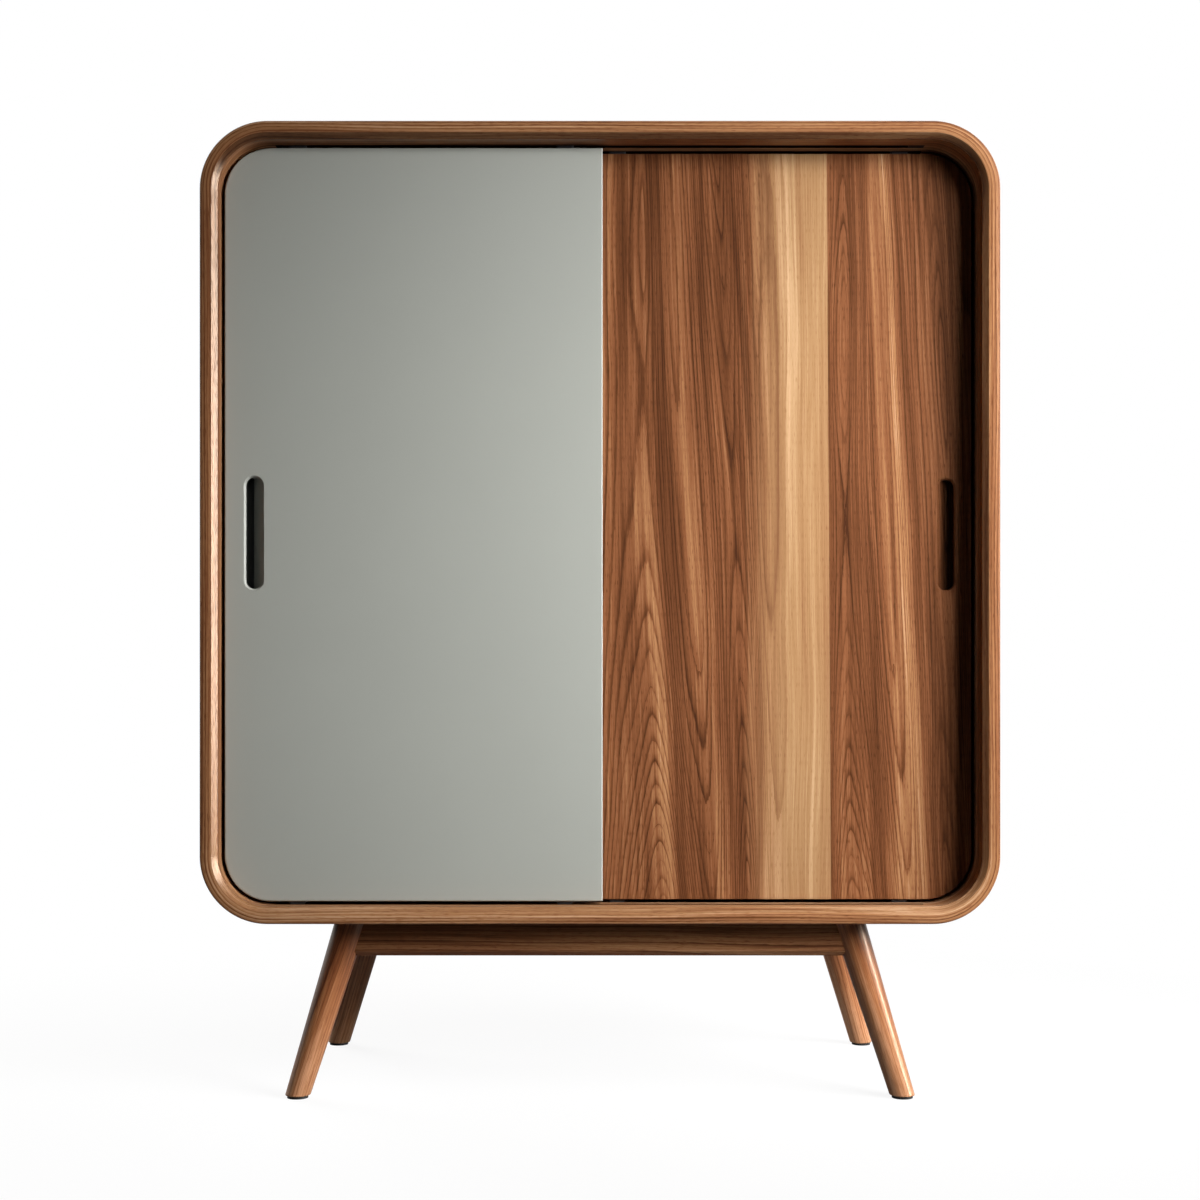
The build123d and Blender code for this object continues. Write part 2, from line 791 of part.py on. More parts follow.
def make_top_guides(gear_x, y):
    """The guides in a door's top edge, whose tongues run in the top track."""
    with BuildPart() as guides:
        for x in gear_x:
            with BuildSketch(level(guide_seat, x, y)) as base:
                Rectangle(guide_base_length, guide_base_width)
            extrude(base.sketch, amount=guide_base_depth)
            with BuildSketch(level(door_top, x, y)) as tongue:
                outline = Rectangle(guide_tongue_length, guide_tongue_width)
                chamfer(outline.vertices(), length=guide_tongue_chamfer)
            extrude(tongue.sketch, amount=guide_tongue_rise)
        cut_screw_holes(guide_screw_places(gear_x, y), guide_screw)
    return guides


def make_door_screws(gear_x, y):
    """All the screws that hold one door's running gear."""
    long_screw = make_screw(door_screw)
    short_screw = make_screw(guide_screw)
    with BuildPart() as screws:
        with Locations(*housing_screw_places(gear_x, y)):
            add(long_screw.part)
        with Locations(*guide_screw_places(gear_x, y)):
            add(short_screw.part)
    return screws


front_gear_x = [-door_side + outer_wheel_inset, front_door_past_centre - inner_wheel_inset]
rear_gear_x = [-rear_door_past_centre + inner_wheel_inset, door_side - outer_wheel_inset]
front_door_panel = make_door(
    -door_side,
    front_door_past_centre,
    front_door_y,
    -1,
    front_door_edge_radius,
    -door_side + front_pull_inset,
    front_gear_x,
)
rear_door_panel = make_door(
    -rear_door_past_centre,
    door_side,
    rear_door_y,
    1,
    rear_door_edge_radius,
    door_side - rear_pull_inset,
    rear_gear_x,
)

door_gear = {}
for door_name, gear_x in (("front", front_gear_x), ("rear", rear_gear_x)):
    door_y = door_lines[door_name]
    door_gear[f"{door_name}_door_axles"] = make_axles(gear_x, door_y)
    door_gear[f"{door_name}_door_top_guides"] = make_top_guides(gear_x, door_y)
    door_gear[f"{door_name}_door_screws"] = make_door_screws(gear_x, door_y)
    for side_name, place_x in zip(("left", "right"), gear_x):
        door_gear[f"{door_name}_door_{side_name}_roller_housing"] = make_roller_housing(place_x, door_y)
        door_gear[f"{door_name}_door_{side_name}_wheel"] = make_wheel(place_x, door_y)
        door_gear[f"{door_name}_door_{side_name}_wheel_bush"] = make_bush(place_x, door_y)

# Stops inside the top tracks, each just clear of the nearest guide at one end of a door's travel

guide_half = guide_tongue_length / 2 + stop_travel_gap
track_end = track_length / 2
stop_spans = [
    (front_door_y, -track_end, front_gear_x[0] - guide_half),
    (front_door_y, front_gear_x[1] + front_door_travel + guide_half, track_end),
    (rear_door_y, -track_end, rear_gear_x[0] - rear_door_travel - guide_half),
    (rear_door_y, rear_gear_x[1] + guide_half, track_end),
]
with BuildPart() as track_stops:
    for stop_y, stop_low, stop_high in stop_spans:
        with BuildSketch(level(inner_top, (stop_low + stop_high) / 2, stop_y)):
            Rectangle(stop_high - stop_low, track_width - 2 * track_wall - 2 * fit_gap)
    extrude(amount=top_channel_depth - fit_gap)

# Base


def rail_profile(leg_place, side):
    """A leaning rail's section: level top and bottom, and a chamfer under its outer face."""
    lean_from = leg_place(case_bottom)
    lean_to = leg_place(rail_bottom)
    half = rail_thickness / 2
    lean = (lean_to - lean_from) / rail_height
    points = [
        (lean_from + half, case_bottom),
        (lean_from - half, case_bottom),
        (lean_to - half, rail_bottom),
        (lean_to + half - rail_chamfer, rail_bottom),
        (lean_to + half - lean * rail_chamfer, rail_bottom + rail_chamfer),
    ]
    return [(side * u, z) for u, z in points]


def make_rail(plane, reach, outline, near_legs):
    """A rail between two legs, coped to fit round them."""
    with BuildPart() as rail:
        with BuildSketch(plane.offset(-reach)):
            with BuildLine():
                Polyline(*outline, close=True)
            make_face()
        extrude(amount=2 * reach)
        for name in near_legs:
            add(leg_clearances[name].part, mode=Mode.SUBTRACT)
        cut_base_screw_holes()
    return rail


rail_reach_x = leg_x(rail_middle)
rail_reach_y = leg_y(rail_middle)
front_rail = make_rail(crosswise(0), rail_reach_x, rail_profile(leg_y, -1), ["front_left", "front_right"])
rear_rail = make_rail(crosswise(0), rail_reach_x, rail_profile(leg_y, 1), ["rear_left", "rear_right"])
left_rail = make_rail(upright(0), rail_reach_y, rail_profile(leg_x, -1), ["front_left", "rear_left"])
right_rail = make_rail(upright(0), rail_reach_y, rail_profile(leg_x, 1), ["front_right", "rear_right"])

bolt_length = brace_distance + washer_thickness + nut_thickness + bolt_end_past_nut + leg_bolt_depth


def make_brace(side_x, side_y, leg_name):
    """A diagonal brace between two rails behind a leg, leaning with them, drilled for the leg's bolt."""
    with BuildPart() as brace:
        for z in (case_bottom, rail_bottom):
            x = leg_x(z) - rail_thickness / 2
            y = leg_y(z) - rail_thickness / 2
            near = brace_reach - brace_thickness * math.sqrt(2)
            with BuildSketch(level(z)):
                with BuildLine():
                    Polyline(
                        (side_x * (x - brace_reach), side_y * y),
                        (side_x * (x - near), side_y * y),
                        (side_x * x, side_y * (y - near)),
                        (side_x * x, side_y * (y - brace_reach)),
                        close=True,
                    )
                make_face()
        loft(ruled=True)
        with BuildSketch(leg_bolt_plane(side_x, side_y).offset(-bolt_length)):
            small_round(leg_bolt_radius + counterbore_gap / 2)
        extrude(amount=bolt_length, mode=Mode.SUBTRACT)
        add(leg_clearances[leg_name].part, mode=Mode.SUBTRACT)
        cut_base_screw_holes()
    return brace


def make_leg(side_x, side_y):
    """A leg: its taper, with the hole for its bolt."""
    leg_cone = make_leg_cone(side_x, side_y, 0)
    with BuildPart() as leg:
        add(leg_cone.part)
        with BuildSketch(leg_bolt_plane(side_x, side_y).offset(-leg_top_radius)):
            small_round(leg_bolt_radius + pilot_gap)
        extrude(amount=leg_top_radius + leg_bolt_depth + fit_gap, mode=Mode.SUBTRACT)
    return leg


legs = {name: make_leg(side_x, side_y) for name, (side_x, side_y) in corners.items()}
braces = {name: make_brace(side_x, side_y, name) for name, (side_x, side_y) in corners.items()}

with BuildPart() as leg_bolts:
    for side_x, side_y in corners.values():
        bolt_plane = leg_bolt_plane(side_x, side_y)
        with BuildSketch(bolt_plane.offset(leg_bolt_depth - bolt_length)):
            small_round(leg_bolt_radius)
    extrude(amount=bolt_length)

with BuildPart() as leg_nuts:
    for side_x, side_y in corners.values():
        washer_plane = leg_bolt_plane(side_x, side_y).offset(-brace_distance)
        with BuildSketch(washer_plane) as washer:
            small_round(washer_radius)
            small_round(leg_bolt_radius + pilot_gap, Mode.SUBTRACT)
        extrude(washer.sketch, amount=-washer_thickness)
        with BuildSketch(washer_plane.offset(-washer_thickness - pilot_gap)) as nut:
            RegularPolygon(nut_radius, nut_sides)
            small_round(leg_bolt_radius + pilot_gap, Mode.SUBTRACT)
        extrude(nut.sketch, amount=-nut_thickness)

with BuildPart() as foot_pads:
    for side_x, side_y in corners.values():
        with BuildSketch(level(0, side_x * leg_x(pad_thickness), side_y * leg_y(pad_thickness))):
            Circle(pad_radius)
    extrude(amount=pad_thickness)

base_screws = scatter(make_screw(base_screw), base_screw_places)

# Files

write_piece(left_side_panel, "left_side_panel")
write_piece(right_side_panel, "right_side_panel")
write_piece(top_panel, "top_panel")
write_piece(bottom_panel, "bottom_panel")
write_piece(top_left_corner, "top_left_corner")
write_piece(top_right_corner, "top_right_corner")
write_piece(bottom_right_corner, "bottom_right_corner")
write_piece(bottom_left_corner, "bottom_left_corner")
write_piece(corner_tongues, "corner_tongues")
write_piece(back_panel, "back_panel")
write_piece(back_panel_screws, "back_panel_screws")
write_piece(centre_divider, "centre_divider")
write_piece(divider_dowels, "divider_dowels")
for row_name, shelf_underside in zip(("lower", "upper"), shelf_undersides):
    write_piece(make_shelf(-1, shelf_underside), f"{row_name}_left_shelf")
    write_piece(make_shelf(1, shelf_underside), f"{row_name}_right_shelf")
write_piece(shelf_pins, "shelf_pins")
for track_name, track_piece in tracks.items():
    write_piece(track_piece, track_name)
write_piece(track_screws, "track_screws")
write_piece(track_stops, "track_stops")
write_piece(front_door_panel, "front_door_panel")
write_piece(rear_door_panel, "rear_door_panel")
for gear_name, gear_piece in door_gear.items():
    write_piece(gear_piece, gear_name)
write_piece(front_rail, "front_rail")
write_piece(rear_rail, "rear_rail")
write_piece(left_rail, "left_rail")
write_piece(right_rail, "right_rail")
for corner_name in corners:
    write_piece(legs[corner_name], f"{corner_name}_leg")
    write_piece(braces[corner_name], f"{corner_name}_brace")
write_piece(leg_bolts, "leg_bolts")
write_piece(leg_nuts, "leg_nuts")
write_piece(foot_pads, "foot_pads")
write_piece(base_screws, "base_screws")
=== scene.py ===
"""Looks of a round-cornered walnut highboard with two sliding doors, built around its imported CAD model.

Everything is in metres, in the CAD's own frame: +Z up, the front towards -Y, the floor at zero.
Patterns in the materials are laid out in millimetres of the real thing.
"""

import math
from functools import partial

import bmesh
import bpy
from bpy.props import FloatProperty, FloatVectorProperty, PointerProperty
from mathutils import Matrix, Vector


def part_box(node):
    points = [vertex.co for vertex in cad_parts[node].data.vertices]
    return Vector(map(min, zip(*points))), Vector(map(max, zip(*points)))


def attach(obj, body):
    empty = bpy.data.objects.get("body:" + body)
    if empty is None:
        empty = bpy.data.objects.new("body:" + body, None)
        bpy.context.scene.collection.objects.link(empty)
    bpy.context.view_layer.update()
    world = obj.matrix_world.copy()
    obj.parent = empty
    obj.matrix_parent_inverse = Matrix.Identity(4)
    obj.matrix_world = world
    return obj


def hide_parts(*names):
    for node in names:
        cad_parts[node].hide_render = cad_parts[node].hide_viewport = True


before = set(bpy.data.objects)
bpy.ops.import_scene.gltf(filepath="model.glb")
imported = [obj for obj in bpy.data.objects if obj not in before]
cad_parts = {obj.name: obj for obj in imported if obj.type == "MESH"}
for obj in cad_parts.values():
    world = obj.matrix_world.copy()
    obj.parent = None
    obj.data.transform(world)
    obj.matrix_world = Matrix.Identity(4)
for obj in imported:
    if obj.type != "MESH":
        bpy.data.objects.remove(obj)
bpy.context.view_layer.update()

bl_info = {
    "name": "Sliding door highboard",
    "version": (1, 0, 0),
    "blender": (4, 5, 0),
    "location": "3D View > Sidebar > Highboard",
    "description": "Finishes a walnut highboard with two sliding doors and sets up its studio",
    "category": "Object",
}

# The sizes that the patterns follow, read from the frame, in millimetres

case_low = Vector(map(min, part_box("left_side_panel")[0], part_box("bottom_panel")[0])) * 1000
case_high = Vector(map(max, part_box("right_side_panel")[1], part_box("top_panel")[1])) * 1000
case_middle_z = (case_low.z + case_high.z) / 2
straight_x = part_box("top_panel")[1].x * 1000
straight_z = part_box("left_side_panel")[1].z * 1000 - case_middle_z
bend_radius = case_high.x - straight_x
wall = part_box("right_side_panel")[1].x * 1000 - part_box("right_side_panel")[0].x * 1000
quarter_round = straight_x + straight_z + math.pi / 2 * (bend_radius - wall / 2)
front_face_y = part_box("front_door_panel")[0].y * 1000
rear_face_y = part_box("rear_door_panel")[0].y * 1000

# The width of a growth ring in mm: through a board's thickness, and across and into the case's rim
through_ring_width = 16.0
case_radius_ring, case_depth_ring = 3.6, 7.5

# The case's finish: its chamfer and the crown of its rim in mm, the veneer's lightness and the painted light
# that makes the top and the bottom lighter, the painted shade on the chamfer there, the roughness of the
# rubbed front edge and of the rest, and how far into the bends and the sides the top and the bottom fade, in
# mm
rim_chamfer, rim_crown = 6.0, 0.7
case_tone, top_tone, bottom_tone = 0.65, 0.07, 0.1
top_stain, bottom_stain = 0.8, 0.28
rubbed_roughness, case_roughness = 0.26, 0.56
bend_blend = 40.0

# The finger pulls, in mm: their middles, half their width and height and their depth with a little to
# spare, and where the painted shade in each sets in and is full, across it, and how far below the face
front_pull_x, rear_pull_x, pull_z = -393.5, 397.5, 645.0
pull_half_width, pull_half_height, pull_floor = 9.6, 65.0, 15.3
front_pull_dark = (-395.9, -396.0, 4.5)
rear_pull_dark = (389.5, 398.5, 2.1)


def linear(hex_colour):
    """A colour written as an sRGB hex value, as the linear colour that the shaders work in."""
    channels = [int(hex_colour[i : i + 2], 16) / 255 for i in (1, 3, 5)]
    return [c / 12.92 if c <= 0.04045 else ((c + 0.055) / 1.055) ** 2.4 for c in channels]


def opaque(colour):
    """A colour with its alpha, as node sockets take it."""
    return (*colour, 1.0)


def colour_setting(name, description, hex_colour):
    """A colour that a user can change in the sidebar."""
    default = linear(hex_colour)
    return FloatVectorProperty(
        name=name, description=description, subtype="COLOR", size=3, min=0.0, max=1.0, default=default
    )


def millimetres(name, description, default):
    """A pattern size that a user can change in the sidebar, in millimetres of the real thing."""
    return FloatProperty(name=name, description=description, default=default, min=0.01, soft_max=1000.0)


def place_setting(name, description, place):
    """A point in the studio that a user can move in the sidebar."""
    return FloatVectorProperty(
        name=name, description=description, subtype="TRANSLATION", unit="LENGTH", default=place
    )


def area_setting(name, width, height):
    """The width and height of a light, which a user can change in the sidebar."""
    return FloatVectorProperty(
        name=name, description="Width and height of the light", size=2, unit="LENGTH", default=(width, height)
    )


def spread_setting(name, degrees):
    """The angle of the grid on a light, which a user can change in the sidebar."""
    description = "Angle of the grid on the light"
    return FloatProperty(name=name, description=description, default=math.radians(degrees), unit="ROTATION")


def power_setting(name, watts):
    """The power of a light, which a user can change in the sidebar."""
    return FloatProperty(name=name, description="Power of the light", default=watts, unit="POWER")


class StudioSettings(bpy.types.PropertyGroup):
    """Where the camera and the lights stand."""

    camera_distance: FloatProperty(
        name="Camera distance", description="From the middle of the cabinet", default=2.2, unit="LENGTH"
    )
    camera_height: FloatProperty(
        name="Camera height", description="Height of the lens above the floor", default=0.447, unit="LENGTH"
    )
    lens: FloatProperty(
        name="Lens", description="Focal length on a 36 mm sensor", default=53.4, subtype="DISTANCE_CAMERA"
    )
    lens_rise: FloatProperty(
        name="Lens rise", description="How far the lens is shifted up, in frame widths", default=0.0892
    )
    key_place: place_setting("Key light place", "Middle of the softbox at the right", (1.33, -0.76, 1.03))
    key_aim: place_setting("Key light aim", "The point that it faces", (0.68, -0.2, 0.72))
    key_size: area_setting("Key light size", 1.36, 1.13)
    key_spread: spread_setting("Key light spread", 80)
    key_power: power_setting("Key light power", 22.8)
    kicker_place: place_setting("Kicker place", "Middle of the strip that gives sheen", (2.4, -0.78, 0.98))
    kicker_aim: place_setting("Kicker aim", "The point that it faces", (-0.4, -0.2, 0.55))
    kicker_size: area_setting("Kicker size", 0.55, 1.7)
    kicker_spread: spread_setting("Kicker spread", 60)
    kicker_power: power_setting("Kicker power", 8.6)
    back_place: place_setting("Back light place", "Middle of the softbox behind it", (-1.7, 1.9, 1.5))
    back_aim: place_setting("Back light aim", "The point that it faces", (0.0, 0.2, 0.6))
    back_size: area_setting("Back light size", 1.6, 1.6)
    back_spread: spread_setting("Back light spread", 120)
    back_power: power_setting("Back light power", 34.0)
    ambient: FloatProperty(name="Ambient", description="Light from all round", default=0.035, min=0.0)
    floor_size: FloatProperty(name="Floor", description="Its width and depth", default=30.0, unit="LENGTH")


class WalnutSettings(bpy.types.PropertyGroup):
    """Colours of the walnut and the sizes of its grain."""

    darkest: colour_setting("Darkest", "The thin dark lines at the ends of the growth rings", "#3B2012")
    dark: colour_setting("Dark", "The red-brown bands of the heartwood", "#5B351E")
    body: colour_setting("Body", "The heartwood between the bands", "#7D4E31")
    light: colour_setting("Light", "The light streaks of the heartwood", "#A2744E")
    palest: colour_setting("Palest", "The palest fibres of the heartwood", "#CBA583")
    sap_dark: colour_setting("Sapwood lines", "The growth rings in the sapwood", "#875D3E")
    sap: colour_setting("Sapwood", "The pale strip at the edge of a leaf of veneer", "#A07B55")
    sap_light: colour_setting("Sapwood fibres", "The palest fibres of the sapwood", "#C29F79")
    fibre_width: millimetres("Fibre width", "Width of the finest streaks", 0.9)
    fibre_length: millimetres("Fibre length", "Length of the finest streaks", 100.0)
    pore_width: millimetres("Pore width", "Width of the open pores, wider than the real 0.2 to show", 0.5)
    pore_length: millimetres("Pore length", "Length of the open pores", 9.0)
    sheen: colour_setting("Sheen", "Warm tint that the oil gives to reflections", "#FFE6CC")


class LacquerSettings(bpy.types.PropertyGroup):
    """The sprayed finish of the front door."""

    colour: colour_setting("Lacquer", "Grey-green satin lacquer", "#9FA19A")
    peel_size: millimetres("Spray texture", "Distance between the faint bumps of the sprayed film", 1.6)


def add_node(tree, kind, *inputs, **settings):
    """Adds one node to a tree, with its settings, and with values or links at its inputs.

    The inputs come in order, or as one dict by name or number. A kind in capitals is the operation of a
    maths node, or of a vector maths node if it starts with VECTOR_.
    """
    if kind.isupper():
        settings["operation"] = kind.removeprefix("VECTOR_")
        kind = "ShaderNodeVectorMath" if kind.startswith("VECTOR_") else "ShaderNodeMath"
    node = tree.nodes.new(kind)
    for name, value in settings.items():
        setattr(node, name, value)
    by_name = inputs[0] if inputs and isinstance(inputs[0], dict) else dict(enumerate(inputs))
    for key, value in by_name.items():
        if isinstance(value, bpy.types.Node):
            value = next(output for output in value.outputs if output.enabled)
        if isinstance(value, bpy.types.NodeSocket):
            tree.links.new(value, node.inputs[key])
        else:
            node.inputs[key].default_value = value
    return node


def new_material(name):
    """An empty material, as (material, function that adds a node to it, place on the object)."""
    material = bpy.data.materials.new(name)
    material.use_nodes = True
    material.node_tree.nodes.clear()
    put = partial(add_node, material.node_tree)
    return material, put, put("ShaderNodeTexCoord").outputs["Object"]


def in_millimetres(put, place):
    """A place's X, Y and Z in millimetres, as sockets by name."""
    real = put("VECTOR_SCALE", {0: place, 3: 1000.0})
    return put("ShaderNodeSeparateXYZ", real).outputs


def finish(put, **look):
    """Ends a material with a surface of those looks. An underscore in a look's name is a space."""
    shader = put("ShaderNodeBsdfPrincipled", {name.replace("_", " "): value for name, value in look.items()})
    put("ShaderNodeOutputMaterial", {"Surface": shader})


def node_group(family, name, build, inputs, outputs):
    """A group of nodes by its name, made by build from its sockets' kinds if the file has none yet."""
    known = bpy.data.node_groups.get(name)
    if known:
        return known
    tree = bpy.data.node_groups.new(name, family + "NodeTree")
    for sockets, way in ((inputs, "INPUT"), (outputs, "OUTPUT")):
        for label, kind in sockets.items():
            tree.interface.new_socket(label, in_out=way, socket_type="NodeSocket" + kind)
    put = partial(add_node, tree)
    put("NodeGroupOutput", build(put, put("NodeGroupInput").outputs))
    return tree


def set_stops(node, *stops):
    """Gives a colour ramp its stops, each (place, colour), as the colour that comes out of it."""
    marks = node.color_ramp.elements
    marks[0].position, marks[1].position = stops[0][0], stops[-1][0]
    for place, _ in stops[1:-1]:
        marks.new(place)
    for mark, (_, colour) in zip(marks, stops):
        mark.color = opaque(colour)
    return node.outputs["Color"]


def assign(material, *names):
    """Gives CAD nodes a material in place of the plain one that they came with."""
    for name in names:
        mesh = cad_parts[name].data
        for index in range(len(mesh.materials)):
            mesh.materials[index] = material


# Walnut: one group of nodes draws the cut wood, and each material says how the board lies in it


def cut_walnut(put, given):
    """The look of cut walnut at a place in a board. The first four inputs are in millimetres.

    Rings counts growth rings, so its contour lines are the figure that the cut shows. The grain runs
    along a path given by two inputs, so that it can close on itself round a ring of panels.
    """
    settings = bpy.context.scene.highboard_walnut

    def streaks(width, length, detail=1.0, across=None):
        """Noise about zero drawn out along the grain: spots of that width and length in millimetres."""
        place = put(
            "ShaderNodeCombineXYZ",
            put("DIVIDE", across or given["Across"], width),
            put("DIVIDE", given["Depth"], width),
            put("DIVIDE", given["Along"], length),
        )
        along_too = put("DIVIDE", given["Along Too"], length)
        spots = {"Vector": place, "W": along_too, "Scale": 1.0, "Detail": detail}
        noise = put("ShaderNodeTexNoise", spots, noise_dimensions="4D")
        return put("SUBTRACT", noise.outputs["Fac"], 0.5)

    # The grain meanders: everything in it sways sideways together, and takes its rings along a little
    sway_reach, drag, raggedness = 22.0, 0.12, 0.25
    sway = put("MULTIPLY_ADD", streaks(75.0, 400.0), sway_reach, given["Across"])

    # Growth rings: the count wanders along the board, and its whole numbers are the dark lines
    swayed = put("SUBTRACT", sway, given["Across"])
    count = put("MULTIPLY_ADD", swayed, drag, given["Rings"])
    count = put("MULTIPLY_ADD", streaks(34.0, 560.0, 1.0, sway), given["Wander"], count)
    count = put("MULTIPLY_ADD", streaks(1.8, 16.0), raggedness, count)
    through_ring = ((0.0, 0.9), (0.08, 0.15), (0.25, 0.0), (0.6, 0.12), (0.8, 0.45), (0.94, 1.0), (1.0, 0.9))
    profile = put("ShaderNodeValToRGB", put("FRACT", count))
    profile = set_stops(profile, *((place, (dark, dark, dark)) for place, dark in through_ring))
    each_ring = put("ShaderNodeTexWhiteNoise", {"W": put("FLOOR", count)}, noise_dimensions="1D")
    strength = put("ShaderNodeMapRange", {"Value": each_ring.outputs["Value"], "To Min": 0.1, "To Max": 1.0})
    latewood = put("MULTIPLY", profile, strength)
    heartwood = put("ShaderNodeMapRange", {"Value": given["Pale"], "To Min": 1.0, "To Max": 0.4})
    latewood = put("MULTIPLY", latewood, heartwood)

    # Lightness: bands, streaks and fibres of the heartwood, less the latewood lines and the pores
    fibre = streaks(settings.fibre_width, settings.fibre_length, 2.0, sway)
    pore = streaks(settings.pore_width, settings.pore_length, 0.0, sway)
    pore = put("ShaderNodeMapRange", {"Value": pore, "From Min": 0.1, "From Max": 0.22})
    lightness = put("MULTIPLY_ADD", latewood, -0.42, given["Tone"])
    for layer, weight in (
        (streaks(50.0, 420.0, 1.0, sway), 0.4),
        (streaks(16.0, 1000.0, 2.0, sway), 0.75),
        (streaks(3.4, 300.0, 2.0, sway), 0.55),
        (fibre, 0.5),
        (pore, -0.16),
    ):
        lightness = put("MULTIPLY_ADD", layer, weight, lightness)
    heart = ((0.05, settings.darkest), (0.3, settings.dark), (0.52, settings.body))
    heart = (*heart, (0.75, settings.light), (1.0, settings.palest))
    heart = set_stops(put("ShaderNodeValToRGB", lightness), *heart)
    sap = ((0.2, settings.sap_dark), (0.52, settings.sap), (0.85, settings.sap_light))
    sap = set_stops(put("ShaderNodeValToRGB", lightness), *sap)
    either = put("ShaderNodeMix", {0: given["Pale"], 6: heart, 7: sap}, data_type="RGBA").outputs[2]
    # Shade is painted shade: it darkens the colour, down to a quarter where it is one
    unstained = put("ShaderNodeMapRange", {"Value": given["Shade"], "To Min": 1.0, "To Max": 0.25})
    pits = put("MULTIPLY", pore, -0.7)
    return {
        "Color": put("VECTOR_SCALE", {0: either, 3: unstained}),
        "Height": put("MULTIPLY_ADD", fibre, 0.3, pits),
    }


def walnut(name, lay_out, tone=0.55, wander=4.0, roughness=0.5, gloss=0.15, tint="#FFFFFF"):
    """Walnut under a thin satin finish: it shows the open pores, and its sheen is soft and even.

    lay_out adds the nodes that say where a point lies in the board, and gives their sockets by name. It
    may give a Crown too, the height in millimetres of a face that is sanded slightly round, and a
    Roughness that changes from place to place. The tint is that of the stock, and the oil in the finish
    warms what the surface mirrors.
    """
    material, put, place = new_material(name)
    lie = {"Tone": tone, "Wander": wander, "Pale": 0.0, "Shade": 0.0}
    lie.update(lay_out(put, in_millimetres(put, place)))
    crown = lie.pop("Crown", None)
    roughness = lie.pop("Roughness", roughness)
    sockets = ("Across", "Depth", "Along", "Along Too", "Rings", "Wander", "Pale", "Tone", "Shade")
    sockets = dict.fromkeys(sockets, "Float")
    group = node_group("Shader", "Walnut cut", cut_walnut, sockets, {"Color": "Color", "Height": "Float"})
    cut = put("ShaderNodeGroup", lie, node_tree=group).outputs
    relief = {"Height": cut["Height"], "Strength": 0.35, "Distance": 0.0002}
    if crown:
        relief["Normal"] = put("ShaderNodeBump", {"Height": crown, "Strength": 1.0, "Distance": 0.001})
    finish(
        put,
        Base_Color=put("VECTOR_MULTIPLY", cut["Color"], linear(tint)),
        Roughness=roughness,
        IOR=1.48,
        Specular_IOR_Level=gloss,
        Specular_Tint=opaque(bpy.context.scene.highboard_walnut.sheen),
        Normal=put("ShaderNodeBump", relief),
    )
    return material


def board(across, depth, along, ring_width=5.5):
    """How a flat board lies: the axes across it, through it and along its grain."""

    def lay_out(put, xyz):
        rings = put("MULTIPLY", xyz[across], 1 / ring_width)
        rings = put("MULTIPLY_ADD", xyz[depth], 1 / through_ring_width, rings)
        lie = {"Across": xyz[across], "Depth": xyz[depth], "Along": xyz[along]}
        return {**lie, "Along Too": 0.0, "Rings": rings}

    return lay_out


def board_along_axis(foot, top):
    """How a leg is cut from its stock: the grain along its axis, and each leg from its own place.

    Its lightness is painted: darker at the top, as shade under the case, and paler towards the foot, as light
    near the floor.
    """
    lean_x, lean_y = (top.x - foot.x) / (top.z - foot.z), (top.y - foot.y) / (top.z - foot.z)
    across_ring_width, depth_ring_width, apart_in_stock = 5.0, 6.5, 9.0

    def lay_out(put, xyz):
        across = put("MULTIPLY_ADD", xyz["Z"], -lean_x, xyz["X"])
        depth = put("MULTIPLY_ADD", xyz["Z"], -lean_y, xyz["Y"])
        rings = put("MULTIPLY", across, 1 / across_ring_width)
        # Painted shade towards the top of the leg and painted light towards its foot
        paler = {"Value": xyz["Z"], "From Min": foot.z, "From Max": top.z, "To Min": 0.96, "To Max": 0.52}
        return {
            "Across": across,
            "Depth": depth,
            "Along": xyz["Z"],
            "Along Too": foot.y * apart_in_stock,
            "Rings": put("MULTIPLY_ADD", depth, 1 / depth_ring_width, rings),
            "Tone": put("ShaderNodeMapRange", paler),
        }

    return lay_out


